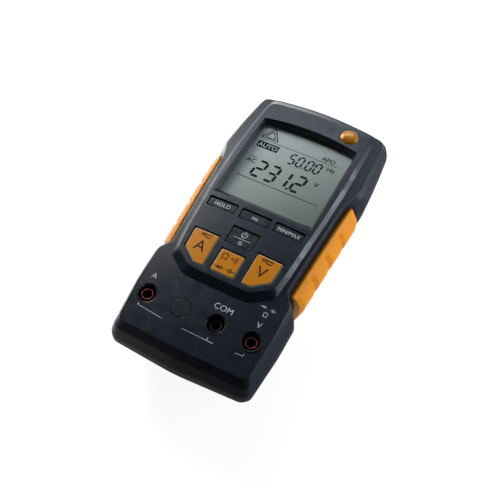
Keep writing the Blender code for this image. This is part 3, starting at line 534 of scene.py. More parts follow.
def glass_finish():
    """Display glass: a grey green with painted light, lighter towards the upper left and darker towards the
    lower right.
    """
    made = finish("display_glass", (0.40, 0.46, 0.43), 0.6, mottle=0.015, gloss=0.1)
    tree = Shading(made)
    low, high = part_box("lcd_glass")
    where = tree.node("TexCoord", output="Object")
    # Painted light: the colour runs from dark at the lower right to light at the upper left.
    across = tree.math("MULTIPLY", tree.axis(where, "X"), -0.55 / (high.x - low.x))
    along = tree.math("MULTIPLY", tree.axis(where, "Y"), 0.75 / (high.y - low.y))
    painted_light_share = tree.math("ADD", tree.math("ADD", across, along), 0.06)
    tree.give(tree.nodes["Principled BSDF"].inputs["Base Color"],
              tree.mix(painted_light_share, (0.25, 0.30, 0.262), (0.70, 0.77, 0.75)))
    return made


def board_finish():
    """Solder mask with copper tracks under it and a scatter of pads."""
    made = finish("board_green", (0.035, 0.20, 0.085), 0.38, grain=0.2, mottle=0.1, coat=0.2)
    tree = Shading(made)
    base_colour = tree.nodes["Principled BSDF"].inputs["Base Color"]
    tone = base_colour.links[0].from_socket
    where = tree.node("TexCoord", output="Object")
    tracks = tree.node("TexBrick", {"Vector": where, "Scale": 160.0, "Mortar Size": 0.035, "Color1": BLACK,
                                    "Color2": BLACK, "Mortar": WHITE})
    pads = tree.math("LESS_THAN", tree.node("TexVoronoi", {"Vector": where, "Scale": 330.0}), 0.16)
    for share, colour, strength in ((tracks, (0.07, 0.33, 0.14), 0.7), (pads, (0.62, 0.60, 0.50), 0.9)):
        tone = tree.mix(tree.math("MULTIPLY", share, strength), tone, colour)
    tree.give(base_colour, tone)
    return made


FINISHES["glass"] = glass_finish()
FINISHES["board"] = board_finish()


# ---------------------------------------------------------------- front shell
def screen_outline(side, low, high):
    """Screen opening with its arched top edge, moved outwards by a distance on each side."""
    half = 27.8 + side
    top = SCREEN_HIGH_Y + high
    count = 10
    arch = [(half * k / count, top - 2.5 * (k / count) ** 2) for k in range(count, -count - 1, -1)]
    points = [(-half, SCREEN_LOW_Y - low), (half, SCREEN_LOW_Y - low)] + arch
    turns = [1.0, 1.0] + [1.2] + [1.0] * (len(arch) - 2) + [1.2]
    steps = [12, 12] + [1] * (len(arch) - 1) + [12]
    return turned_corners(points, turns, steps, 3)


def well(skin, rings, radii):
    """An opening's wall from its mouth downwards; returns the first and last ring."""
    made = filleted(rings, radii)
    skin.strip(made)
    return made[0], made[-1]


def front_shell():
    """Front half of the case, with its arched panel, sunken plane, openings and screw posts."""
    skin = Skin()
    outer = filleted([on_face(whole(PANEL_TOP, -0.45), 0), on_face(whole(PANEL_TOP), 0),
                      on_face(whole(PANEL_FOOT), PLANE_DEPTH), on_face(whole(PANEL_FOOT, 0.7), PLANE_DEPTH)],
                     [0.3, 0.25])
    skin.strip(outer)
    side = filleted(
        [on_face(whole(PLANE_EDGE, -0.7), PLANE_DEPTH), on_face(whole(PLANE_EDGE), PLANE_DEPTH),
         on_face(whole(CASE_EDGE), EDGE_DEPTH), on_face(whole(CASE_WALL), WALL_DEPTH),
         at_height(whole(CASE_RIM), PARTING_Z), at_height(whole(CASE_RIM, -WALL_THICK), PARTING_Z),
         on_face(whole(CASE_WALL, -WALL_THICK), WALL_DEPTH),
         on_face(whole(CASE_EDGE, -WALL_THICK), EDGE_DEPTH + 1.2),
         on_face(whole(PLANE_EDGE, -2.8), PLANE_SHELL_DEPTH)], [0.4, 0.5, 1.2, 0.25, 0.2, 0, 0])
    skin.strip(side)
    under = [on_face(whole(PANEL_FOOT, -WALL_THICK), PLANE_SHELL_DEPTH),
             on_face(whole(PANEL_TOP, -0.2), SHELL_DEPTH)]
    skin.strip(under)

    top_holes, inner_holes, plane_holes, under_holes = [], [], [], []
    seat, rib = screen_outline(1.35, 1.35, 1.35), screen_outline(2.0, 2.0, 2.0)
    mouth, end = well(skin, [
        on_face(screen_outline(0.35, 0.55, 0.45), 0), on_face(screen_outline(0.1, 0.3, 0.2), 0),
        on_screen(screen_outline(-1.07, -2.7, -1.85), -0.12), on_screen(seat, -0.12), on_screen(seat, 1.5),
        on_screen(rib, 1.5), on_face(rib, SHELL_DEPTH)], [0.24, 0.12, 0, 0, 0])
    top_holes.append(mouth)
    inner_holes.append(end)
    for outline, _ in KEYS.values():
        hole = rounded(outline, KEY_TURN)
        lip = rounded(outline, KEY_TURN + 0.2, grow=0.24)
        mouth, end = well(skin, [on_face(lip, 0), on_face(hole, 0), on_face(hole, SHELL_DEPTH)], [0.22])
        top_holes.append(mouth)
        inner_holes.append(end)
    x, y = BADGE
    seat = face_z(x, y) - 0.7
    mouth, end = well(skin, [on_face(circle(x, y, 5.2), 0), on_face(circle(x, y, 5.06), 0),
                             at_height(circle(x, y, 5.06), seat)], [0.13])
    top_holes.append(mouth)
    skin.face(end)
    for node in ["jack_shroud_" + name for name in SOCKETS] + ["socket_blank"]:
        lip, hole = (circle(*centre(node), radius) for radius in (5.42, 5.15))
        mouth, end = well(skin, [on_face(lip, PLANE_DEPTH), on_face(hole, PLANE_DEPTH),
                                 on_face(hole, PLANE_SHELL_DEPTH)], [0.26])
        plane_holes.append(mouth)
        under_holes.append(end)
    posts = [(x, y, 2.9, 1.5, PARTING_Z + 0.3, y > 0) for x, y in CASE_SCREWS.values()]
    posts += [(x, y, 2.5, 1.2, 30.3, False) for x, y in BOARD_SCREWS.values()]
    for x, y, radius, bore, low_z, in_panel in posts:
        depth = SHELL_DEPTH if in_panel else PLANE_SHELL_DEPTH
        top = face_z(x, y, PLANE_DEPTH + 1.0) - 2.0
        post, hole = circle(x, y, radius, 32), circle(x, y, bore, 32)
        rings = filleted([on_face(post, depth), at_height(post, low_z), at_height(hole, low_z),
                          at_height(hole, top)], [0.25, 0.2], 2)
        skin.strip(rings)
        skin.face(rings[-1])
        (inner_holes if in_panel else under_holes).append(rings[0])

    skin.fill((outer[0], lambda x, y: face_z(x, y)), top_holes)
    skin.fill((side[0], lambda x, y: face_z(x, y, PLANE_DEPTH)), [outer[-1]] + plane_holes)
    skin.fill((side[-1], lambda x, y: face_z(x, y, PLANE_SHELL_DEPTH)), [under[0]] + under_holes, 6.0)
    skin.fill((under[-1], lambda x, y: face_z(x, y, SHELL_DEPTH)), inner_holes, 6.0)
    return add_skin("front_case", skin, "case", FINISHES["case"], slot="case_plastic",
                    stands_for=["front_shell"], sharp=38)


# ---------------------------------------------------------------- keys
def key(name):
    """Key cap with a rounded, faintly crowned top and a flange under the face."""
    outline, kind = KEYS[name]
    dark = kind == "dark"
    low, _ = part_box(name)
    cap, flange = rounded(outline, KEY_TURN, grow=-0.42), rounded(outline, KEY_TURN, grow=0.85)
    flange_z = 40.2 if dark else 39.6
    top = KEY_TOPS[kind]
    slope = 0.4 if dark else 0.6
    edge = rounded(outline, KEY_TURN - 0.15, grow=-0.42 - slope)
    field = rounded(outline, KEY_TURN - 0.3, grow=-0.42 - slope - 0.4)
    skin = Skin()
    rings = filleted(
        [at_height(cap, low.z / MM), at_height(cap, flange_z - 1.2), at_height(flange, flange_z - 1.2),
         at_height(flange, flange_z), at_height(cap, flange_z), on_face(cap, top + slope), on_face(edge, top),
         on_face(field, top)], [0, 0.15, 0.15, 0.1, 0.12, 0.12])
    skin.strip(rings)
    skin.face(rings[0])
    skin.fill((rings[-1], lambda x, y: face_z(x, y, top)), [], 2.5)
    obj = add_skin(name + "_cap", skin, name, FINISHES["dark" if dark else "orange"],
                   slot="key_dark" if dark else "key_orange", stands_for=[name], sharp=38)
    # Orange caps: the sloped rim faces round the top get the pale cream painted highlight.
    if not dark:
        obj.data.materials.append(FINISHES["orange_painted_rim_highlight"])
        for face in obj.data.polygons:
            height = face.center.z / MM - face_z(face.center.x / MM, face.center.y / MM, top + slope)
            if height > -0.05 and 0.3 < face.normal.z < 0.93:
                face.material_index = 1
    return obj


# ---------------------------------------------------------------- printing
FONT_CAP_HEIGHT = 0.729


class Print:
    """Flat marks gathered into one thin piece that follows a surface."""

    def __init__(self, surface, thick=0.03, lift=0.012):
        self.surface, self.thick, self.lift = surface, thick, lift
        self.skin_points, self.skin_faces = [], []

    def polygon(self, outline):
        """A closed flat mark."""
        area = sum(outline[i - 1][0] * outline[i][1] - outline[i][0] * outline[i - 1][1]
                   for i in range(len(outline)))
        if area < 0:
            outline = outline[::-1]
        start, count = len(self.skin_points), len(outline)
        for rise in (self.lift, self.lift + self.thick):
            self.skin_points += [(x, y, self.surface(x, y) + rise) for x, y in outline]
        self.skin_faces.append([start + i for i in reversed(range(count))])
        self.skin_faces.append([start + count + i for i in range(count)])
        for i in range(count):
            j = (i + 1) % count
            self.skin_faces.append([start + i, start + j, start + count + j, start + count + i])

    def line(self, points, width, closed=False):
        """A stroke of even width with mitred joints."""
        if closed:
            outer, inner = grown(points, width / 2), grown(points, -width / 2)
            for i in range(len(points)):
                j = (i + 1) % len(points)
                self.polygon([outer[i], outer[j], inner[j], inner[i]])
            return
        for first, second in zip(points, points[1:]):
            along = (Vector(second) - Vector(first)).normalized()
            across = Vector((-along.y, along.x)) * width / 2
            a, b = Vector(first) - along * width / 2, Vector(second) + along * width / 2
            pieces = max(1, round((b - a).length / 1.5))
            upper = [tuple(a.lerp(b, k / pieces) + across) for k in range(pieces + 1)]
            lower = [tuple(a.lerp(b, k / pieces) - across) for k in range(pieces + 1)]
            self.ribbon(lower, upper)

    def ribbon(self, lower, upper):
        """A band between two lines with the same number of points."""
        start, count = len(self.skin_points), len(lower)
        for rise in (self.lift, self.lift + self.thick):
            for line in (lower, upper):
                self.skin_points += [(x, y, self.surface(x, y) + rise) for x, y in line]
        base = [start + count * k for k in range(4)]
        for i in range(count - 1):
            for a, b in ((0, 1), (1, 3), (3, 2), (2, 0)):
                self.skin_faces.append([base[a] + i, base[b] + i, base[b] + i + 1, base[a] + i + 1])
        for i in (0, count - 1):
            self.skin_faces.append([base[0] + i, base[1] + i, base[3] + i, base[2] + i])

    def curve(self, points, width):
        """A smooth stroke of even width along close points."""
        spots = [Vector(p) for p in points]
        lower, upper = [], []
        for k, spot in enumerate(spots):
            along = (spots[min(k + 1, len(spots) - 1)] - spots[max(k - 1, 0)]).normalized()
            across = Vector((-along.y, along.x)) * width / 2
            lower.append(tuple(spot - across))
            upper.append(tuple(spot + across))
        self.ribbon(lower, upper)

    def arc(self, x, y, radius, start, end, width, steps=12):
        """Part of a ring, from one angle to another in degrees."""
        turns = [math.radians(start + (end - start) * k / steps) for k in range(steps + 1)]
        self.curve([(x + radius * math.cos(t), y + radius * math.sin(t)) for t in turns], width)

    def text(self, words, x, y, height, bold=0.0, spacing=1.0, stretch=1.0):
        """Plain sans serif letters of a given cap height, centred on x with their foot at y."""
        curve = bpy.data.curves.new("words", "FONT")
        curve.body = words
        curve.size = 1.0
        curve.space_character = spacing
        curve.offset = bold
        curve.resolution_u = 3
        curve.align_x = "CENTER"
        holder = bpy.data.objects.new("words", curve)
        bpy.context.scene.collection.objects.link(holder)
        bpy.context.view_layer.update()
        mesh = bpy.data.meshes.new_from_object(holder)
        bpy.data.objects.remove(holder)
        scale = height / FONT_CAP_HEIGHT
        shape = bmesh.new()
        shape.from_mesh(mesh)
        bmesh.ops.remove_doubles(shape, verts=shape.verts, dist=1e-5)
        extruded = bmesh.ops.extrude_face_region(shape, geom=list(shape.faces))
        for item in extruded["geom"]:
            if isinstance(item, bmesh.types.BMVert):
                item.co.z += 1.0
        bmesh.ops.recalc_face_normals(shape, faces=shape.faces)
        start = len(self.skin_points)
        shape.verts.index_update()
        for vertex in shape.verts:
            px, py = x + vertex.co.x * scale * stretch, y + vertex.co.y * scale
            rise = self.lift + (self.thick if vertex.co.z > 0.5 else 0.0)
            self.skin_points.append((px, py, self.surface(px, py) + rise))
        self.skin_faces += [[start + v.index for v in face.verts] for face in shape.faces]
        shape.free()
        bpy.data.meshes.remove(mesh)

    def shift(self, dx, dy):
        """Moves every mark along the surface."""
        self.skin_points = [(x + dx, y + dy, self.surface(x + dx, y + dy) + z - self.surface(x, y))
                            for x, y, z in self.skin_points]

    def add(self, name, body, ink):
        """The marks as one piece."""
        return add_piece(name, self.skin_points, self.skin_faces, body, FINISHES[ink], weighted=False,
                         flat=True)


def diode(sheet, x, y, size, width):
    """Diode symbol with its two leads."""
    half, rise = size * 0.5, size * 0.55
    sheet.polygon([(x - half, y + rise), (x - half, y - rise), (x + size * 0.45, y)])
    sheet.line([(x + half, y + rise), (x + half, y - rise)], width)
    sheet.line([(x - size * 1.15, y), (x - half, y)], width)
    sheet.line([(x + half, y), (x + size * 1.15, y)], width)


def capacitor(sheet, x, y, size, width):
    """Capacitor symbol with its two leads."""
    for side in (-1, 1):
        plate = x + side * size * 0.22
        sheet.line([(plate, y + size * 0.6), (plate, y - size * 0.6)], width)
        sheet.line([(plate, y), (x + side * size * 1.05, y)], width)


def wave(sheet, x, y, width, rise, stroke, steps=16):
    """One period of a wave centred on x, y."""
    sheet.curve([(x - width / 2 + width * k / steps, y + rise * math.sin(2 * math.pi * k / steps))
                 for k in range(steps + 1)], stroke)


def supply_bars(sheet, x, y, width, stroke):
    """A straight bar over a wave, for direct and alternating supply."""
    sheet.line([(x - width / 2, y + 1.0), (x + width / 2, y + 1.0)], stroke)
    wave(sheet, x, y - 0.25, width, 0.5, stroke)


def power_marks(sheet):
    """Power sign over a line and a small sun for the backlight."""
    sun_y = -16.6
    sheet.arc(0.0, -11.6, 1.45, 125, 415, 0.42, 18)
    sheet.line([(0.0, -11.4), (0.0, -9.6)], 0.42)
    sheet.line([(-4.6, -14.3), (4.6, -14.3)], 0.28)
    sheet.arc(0.0, sun_y, 0.62, 0, 360, 0.24, 16)
    for turn in range(0, 360, 45):
        c, s = math.cos(math.radians(turn)), math.sin(math.radians(turn))
        sheet.line([(0.95 * c, sun_y + 0.95 * s), (1.35 * c, sun_y + 1.35 * s)], 0.2)


def ohms_marks(sheet):
    """Ohm sign, sounder, diode and capacitor."""
    sheet.text("Ω", -2.9, -28.3, 3.8)
    sheet.arc(1.0, -26.4, 0.28, 0, 360, 0.5, 12)
    for reach in (1.3, 2.1, 2.9):
        sheet.arc(1.0, -26.4, reach, -42, 42, 0.34, 8)
    diode(sheet, -2.9, -32.9, 1.8, 0.44)
    capacitor(sheet, 3.1, -32.9, 2.0, 0.44)


def supply_marks(letter, x):
    """A letter under the bars for direct and alternating supply."""
    def draw(sheet):
        supply_bars(sheet, x, -20.3, 5.6, 0.55)
        sheet.text(letter, x, -29.2, 6.3)
    return draw


KEY_MARKS = {
    "key_hold": lambda sheet: sheet.text("HOLD", -18.9, -1.35, 2.35, spacing=1.02),
    "key_frequency": lambda sheet: sheet.text("Hz", 0.0, -1.6, 2.2, spacing=1.05),
    "key_min_max": lambda sheet: sheet.text("MIN/MAX", 18.7, -1.4, 2.35, spacing=0.96, stretch=0.94),
    "key_power": power_marks, "key_ohms": ohms_marks,
    "key_amps": supply_marks("A", -17.0), "key_volts": supply_marks("V", 17.0),
}


def key_print():
    """Legends, one thin piece on each key so that they move with it."""
    for name, (_, kind) in KEYS.items():
        sheet = Print(lambda x, y, top=KEY_TOPS[kind]: face_z(x, y, top))
        KEY_MARKS[name](sheet)
        sheet.add(name + "_legend", name, "white_print" if kind == "dark" else "brown_print")


def case_print():
    """Socket names and the bracket line under the sockets."""
    sheet = Print(lambda x, y: face_z(x, y, PLANE_DEPTH))
    sheet.text("A", -29.9, -50.7, 3.1)
    sheet.text("COM", 9.3, -51.8, 3.2, spacing=1.02)
    sheet.text("V", 28.0, -51.5, 3.1)
    sheet.text("Ω", 28.2, -45.4, 2.6)
    diode(sheet, 25.7, -40.7, 1.2, 0.28)
    capacitor(sheet, 30.7, -40.8, 1.35, 0.28)
    sheet.line([(-29.8, -65.0), (-29.6, -66.0), (-15.5, -67.4)], 0.26)
    sheet.line([(-4.0, -67.9), (12.8, -67.9)], 0.26)
    sheet.line([(9.5, -67.9), (9.5, -66.5)], 0.26)
    sheet.line([(24.4, -67.2), (28.1, -66.9), (28.3, -65.8)], 0.26)
    sheet.add("socket_printing", "case", "white_print")


# ---------------------------------------------------------------- display
SEGMENT_SETS = {"0": "abcdef", "1": "bc", "2": "abged", "3": "abgcd", "5": "afgcd"}


def digit(sheet, symbol, x, y, wide, tall, stroke, slant=0.09):
    """One digit of seven bars; x and y are its lower left corner."""
    gap = stroke * 0.16
    half = tall / 2
    bars = {"a": ((0, tall), (wide, tall)), "g": ((0, half), (wide, half)), "d": ((0, 0), (wide, 0)),
            "f": ((0, half), (0, tall)), "b": ((wide, half), (wide, tall)),
            "e": ((0, 0), (0, half)), "c": ((wide, 0), (wide, half))}
    for bar in SEGMENT_SETS[symbol]:
        (x1, y1), (x2, y2) = bars[bar]
        w = stroke / 2
        if y1 == y2:
            x1, x2 = x1 + gap, x2 - gap
            shape = [(x1, y1), (x1 + w, y1 + w), (x2 - w, y1 + w), (x2, y1), (x2 - w, y1 - w),
                     (x1 + w, y1 - w)]
        else:
            y1, y2 = y1 + gap, y2 - gap
            shape = [(x1, y1), (x1 + w, y1 + w), (x1 + w, y2 - w), (x1, y2), (x1 - w, y2 - w),
                     (x1 - w, y1 + w)]
        sheet.polygon([(x + px + py * slant, y + py) for px, py in shape])


MARKS_SHIFT = (-0.9, 1.2)


def display_cell():
    """Liquid crystal cell with a softened front edge."""
    low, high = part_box("lcd_glass")
    corners = [(low.x / MM, low.y / MM), (high.x / MM, low.y / MM), (high.x / MM, high.y / MM),
               (low.x / MM, high.y / MM)]
    back = DISPLAY_DEPTH + 2.4
    edge, field, middle = (rounded(corners, 0.4, 2, 20, grow) for grow in (0.0, -0.5, -1.2))
    cell = Skin()
    cell.strip(filleted([on_screen(edge, back), on_screen(edge, DISPLAY_DEPTH),
                         on_screen(field, DISPLAY_DEPTH)], [0.2], 2))
    cell.strip([on_screen(field, DISPLAY_DEPTH), on_screen(middle, DISPLAY_DEPTH)])
    cell.face(on_screen(edge, back))
    cell.face(on_screen(middle, DISPLAY_DEPTH))
    add_skin("display_cell", cell, "case", FINISHES["glass"], slot="lcd_grey", stands_for=["lcd_glass"])


def display_pane():
    """Clear pane in front of the cell."""
    top, back = 0.05, 1.45
    edge, field, middle = (screen_outline(side, side, side) for side in (1.05, 0.45, -0.3))
    rings = filleted([on_screen(edge, back), on_screen(edge, top), on_screen(field, top)], [0.15], 2)
    add_skin("display_pane", solid(rings + [on_screen(middle, top)]), "case", FINISHES["pane"],
             slot="clear_pane", stands_for=["screen_window"])


# Digits of a reading: their lower left corners, then width, height and stroke.
READINGS = [
    ((("2", -17.0), ("3", -9.3), ("1", -2.4), ("2", 6.0)), 25.6, 5.0, 10.9, 1.5),
    ((("5", -3.1), ("0", 1.5), ("0", 7.0), ("0", 11.6)), 41.7, 2.9, 7.0, 0.95),
]
POINTS = [(4.0, 24.9, 1.3), (5.2, 41.3, 0.7)]
DISPLAY_WORDS = [("APO", 16.3, 52.0, 2.9, 0.012, 1.0), ("Hz", 20.0, 46.2, 3.0, 0.012, 1.0),
                 ("AC", -20.6, 33.2, 3.0, 0.016, 0.98), ("V", 17.5, 33.7, 2.9, 0.016, 1.0)]
TRIANGLES = [([(-18.75, 60.6), (-23.6, 52.4), (-13.9, 52.4)], 0.6),
             ([(-18.75, 58.2), (-21.6, 53.4), (-15.9, 53.4)], 0.55)]


def display_marks():
    """Ink on the cell, and the word that is left clear in its dark bar."""
    ink = Print(lambda x, y: screen_z(y, DISPLAY_DEPTH), 0.04, 0.02)
    for (symbols, y, wide, tall, stroke), (point_x, point_y, size) in zip(READINGS, POINTS):
        for symbol, x in symbols:
            digit(ink, symbol, x, y, wide, tall, stroke)
        lean = 0.1 if size > 1 else 0.05
        ink.polygon([(point_x, point_y), (point_x + size, point_y), (point_x + size + lean, point_y + size),
                     (point_x + lean, point_y + size)])
    for outline, width in TRIANGLES:
        ink.line(rounded(outline, 0.7, 3, 20), width, closed=True)
    ink.line([(-22.5, 51.0), (22.0, 51.0)], 0.34)
    ink.line([(-23.0, 22.7), (24.0, 22.7)], 0.34)
    for words in DISPLAY_WORDS:
        ink.text(*words)
    wave(ink, -20.5, 37.4, 4.4, 0.45, 0.4)
    ink.polygon([(-23.4, 45.0), (-11.0, 45.0), (-11.0, 49.6), (-23.4, 49.6)])
    clear = Print(lambda x, y: screen_z(y, DISPLAY_DEPTH), 0.03, 0.065)
    clear.text("AUTO", -17.2, 45.9, 2.9, 0.014)
    for sheet, name, colour in ((ink, "display_marks", "ink"), (clear, "display_reversed_marks", "glass")):
        sheet.shift(*MARKS_SHIFT)
        sheet.add(name, "case", colour)


# ---------------------------------------------------------------- sockets and badge
def socket(name):
    """Cup, collar and coloured ring of one test lead socket."""
    x, y = centre("jack_shroud_" + name)
    top = face_z(x, y, PLANE_DEPTH)
    cup = [(5.65, 16.0), (5.65, top - 4.6), (5.5, top - 4.4), (4.92, top - 4.4), (4.92, top - 0.32),
           (4.86, top - 0.2), (4.72, top - 0.14), (4.52, top - 0.18), (4.4, top - 0.34), (4.32, top - 0.7),
           (4.3, 18.5), (3.25, 18.5), (3.25, 16.0)]
    lathe("socket_cup_" + name, cup, x, y, "case", FINISHES["black"], 64, True, slot="socket_black",
          stands_for=["jack_shroud_" + name])
    com = name == "com"
    ring_z = top - (1.7 if com else 1.1)
    collar = [(2.95, 17.0), (2.95, ring_z - 0.62), (2.25, ring_z - 0.62), (2.25, 17.0)]
    lathe("socket_collar_" + name, collar, x, y, "case", FINISHES["black"], 56, True, slot="socket_black",
          stands_for=["jack_collar_" + name])
    ring = [(2.95, ring_z - 0.6), (2.95, ring_z - 0.12), (2.9, ring_z - 0.03), (2.8, ring_z),
            (2.62, ring_z), (2.52, ring_z - 0.03), (2.46, ring_z - 0.12), (2.46, ring_z - 0.6)]
    lathe("socket_ring_" + name, ring, x, y, "case", FINISHES["black" if com else "red"], 56, True,
          slot="socket_black" if com else "socket_red")


def socket_cover():
    """Disc that closes the fourth socket place."""
    low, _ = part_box("socket_blank")
    x, y = centre("socket_blank")
    skin = Skin()
    side = circle(x, y, 4.92)
    rings = filleted([at_height(circle(x, y, 4.6), low.z / MM), at_height(side, low.z / MM + 0.6),
                      on_face(side, PLANE_DEPTH + 0.14), on_face(circle(x, y, 4.5), PLANE_DEPTH + 0.1)],
                     [0.2, 0.18])
    skin.strip(rings)
    skin.face(rings[0])
    skin.fill((rings[-1], lambda x, y: face_z(x, y, PLANE_DEPTH + 0.1)), [], 2.0)
    add_skin("socket_cover", skin, "case", FINISHES["cover"], slot="case_plastic",
             stands_for=["socket_blank"])


def badge():
    """Plain domed disc with a fine rim."""
    x, y = BADGE
    base = face_z(x, y) - 0.45
    profile = [(4.9, base), (4.95, base + 0.1), (4.95, base + 0.35), (4.88, base + 0.5), (4.7, base + 0.58),
               (4.55, base + 0.56), (4.42, base + 0.62)]
    for k in range(1, 9):
        share = k / 8
        radius = 4.42 * math.cos(share * math.pi / 2)
        profile.append((max(radius, 0.002), base + 0.62 + 0.93 * math.sin(share * math.pi / 2)))
    lathe("badge_dome", profile, x, y, "case", FINISHES["bronze"], 64, slot="badge_bronze",
          stands_for=["badge"], sharp=50)


# ---------------------------------------------------------------- grips
def seat_x(y):
    """Half-width of the case wall behind the grip."""
    return 38.2 + (y - 31.9) * (38.2 - 34.8) / 65.1


def lip_x(y):
    """Half-width of the edge of the sunken plane along the waist."""
    if y > 29.8:
        return 35.6 + (y - 29.8) * 0.5
    return 35.6 + (y - 29.8) * (35.6 - 32.0) / 58.3


def grip_section(y, side, notch, tilt):
    """Outline of the grip across the case at y, with a sunken lip; tilt leans it up the case near the top."""
    seat, lip = seat_x(y), lip_x(y)
    share = min(1.0, max(0.0, (y + 33.0) / 65.0))
    out = 40.0 + 3.4 * share
    outer = [(lip + 0.9, face_z(lip, y, 7.2)), (lip + 2.5, face_z(lip + 2, y, 6.0)),
             (lip + 3.3, face_z(lip + 3, y, 6.1)),
             (max(lip + 3.5, out - 2.9 - notch * 0.2), face_z(out - 3, y, 7.8)),
             (out - notch, face_z(out, y, 12.6)), (out - 0.6 + 0.4 * share - notch, 22.5),
             (out - 2.4 - notch * 0.6, 16.0), (seat - 0.5, 9.0)]
    inner = [(seat - 1.2, 9.0), (seat + 0.3, 24.0), (seat + 0.3, face_z(seat, y, 11.2)),
             (lip + 2.2, face_z(lip, y, 8.4)), (lip + 1.7, face_z(lip, y, 7.0))]
    return [(side * x, y + tilt * max(0.0, z - 24.0), z) for x, z in outer + inner]


def grips():
    """Moulded side grips, each with three slanted notches and tapered ends."""
    stations = [(30.6, 0.4, 0.14), (29.2, 0.0, 0.08)]
    for top in (17.5, 3.2, -11.1):
        stations += [(top, 0.0, 0.0), (top - 3.4, 1.9, 0.0), (top - 4.0, 0.0, 0.0)]
    stations += [(-25.6, 0.0, 0.0), (-28.3, 1.2, 0.0)]
    for name, side in (("left", -1), ("right", 1)):
        rings = [grip_section(y, side, notch, tilt) for y, notch, tilt in stations]
        obj = add_skin("side_grip_" + name, solid(rings), "case", FINISHES["grip"], slot="grip_rubber",
                       stands_for=["grip_" + name], sharp=9)
        add_bevel(obj, 0.3, 3, 7)


# ---------------------------------------------------------------- joined and cut shapes
def prism(outline, low_z, high_z):
    return solid([at_height(outline, low_z), at_height(outline, high_z)])


def cutter(outline_at, depth_z, mouth=0.25):
    """A pocket cut upwards from the back face whose mouth has a small chamfer.

    outline_at gives the outline moved outwards by a distance.
    """
    wall = outline_at(0.0)
    return solid([at_height(outline_at(mouth + 0.6), BACK_Z - 0.6), at_height(wall, BACK_Z + mouth),
                  at_height(wall, depth_z)])


def combined(base, steps):
    """Points and faces of a shape after exact Booleans; each step is an operation and another shape."""
    start = mesh_object("helper", base.points, base.faces)
    others = []
    for operation, skin in steps:
        other = mesh_object("helper", skin.points, skin.faces)
        others.append(other)
        modifier = start.modifiers.new(operation, "BOOLEAN")
        modifier.operation = operation
        modifier.solver = "EXACT"
        modifier.object = other
    bpy.context.view_layer.update()
    mesh = bpy.data.meshes.new_from_object(start.evaluated_get(bpy.context.evaluated_depsgraph_get()))
    built = bmesh.new()
    built.from_mesh(mesh)
    bmesh.ops.dissolve_degenerate(built, edges=built.edges, dist=1e-6)
    bmesh.ops.dissolve_limit(built, verts=built.verts, edges=built.edges, angle_limit=math.radians(0.2))
    built.verts.index_update()
    points = [tuple(v.co / MM) for v in built.verts]
    faces = [[v.index for v in face.verts] for face in built.faces]
    built.free()
    bpy.data.meshes.remove(mesh)
    for obj in [start] + others:
        bpy.data.objects.remove(obj)
    return points, faces


def along_x(profile, y, z, count=40):
    """A round shape on an axis along X from (x, radius) pairs."""
    return solid([[(x, y + a, z + b) for a, b in circle(0, 0, r, count)] for x, r in profile])


def along_y(profile, x, z, count=56):
    """A round shape on an axis along Y from (y, radius) pairs."""
    return solid([[(x + a, y, z + b) for a, b in circle(0, 0, max(r, 0.002), count)] for y, r in profile])


# ---------------------------------------------------------------- rear shell
def between(first, second, share):
    """The outline part of the way from one half outline to another."""
    return [(ax + (bx - ax) * share, ay + (by - ay) * share) for (ax, ay), (bx, by) in zip(first, second)]


def bail_points(out, bar, low, high):
    """Corners of the stand's U from its half-width, bar width and ends."""
    inner, cross = out - bar, low + bar + STAND_CROSS_EXTRA
    return [(-out, low), (out, low), (out, high), (inner, high), (inner, cross), (-inner, cross),
            (-inner, high), (-out, high)]


def trough_outline(grow):
    """The U that the stand folds into, as a closed outline with rounded corners."""
    points = bail_points(STAND_HALF_X + grow, STAND_BAR + 2 * grow, STAND_LOW_Y - grow,
                         STAND_AXIS_Y + 2.2 + grow)
    return rounded(points, 1.5, 5, 40)


def rectangle(half_x, low_y, high_y, radius, grow=0.0):
    points = [(-half_x - grow, low_y - grow), (half_x + grow, low_y - grow), (half_x + grow, high_y + grow),
              (-half_x - grow, high_y + grow)]
    return rounded(points, radius + grow, 6, 80)


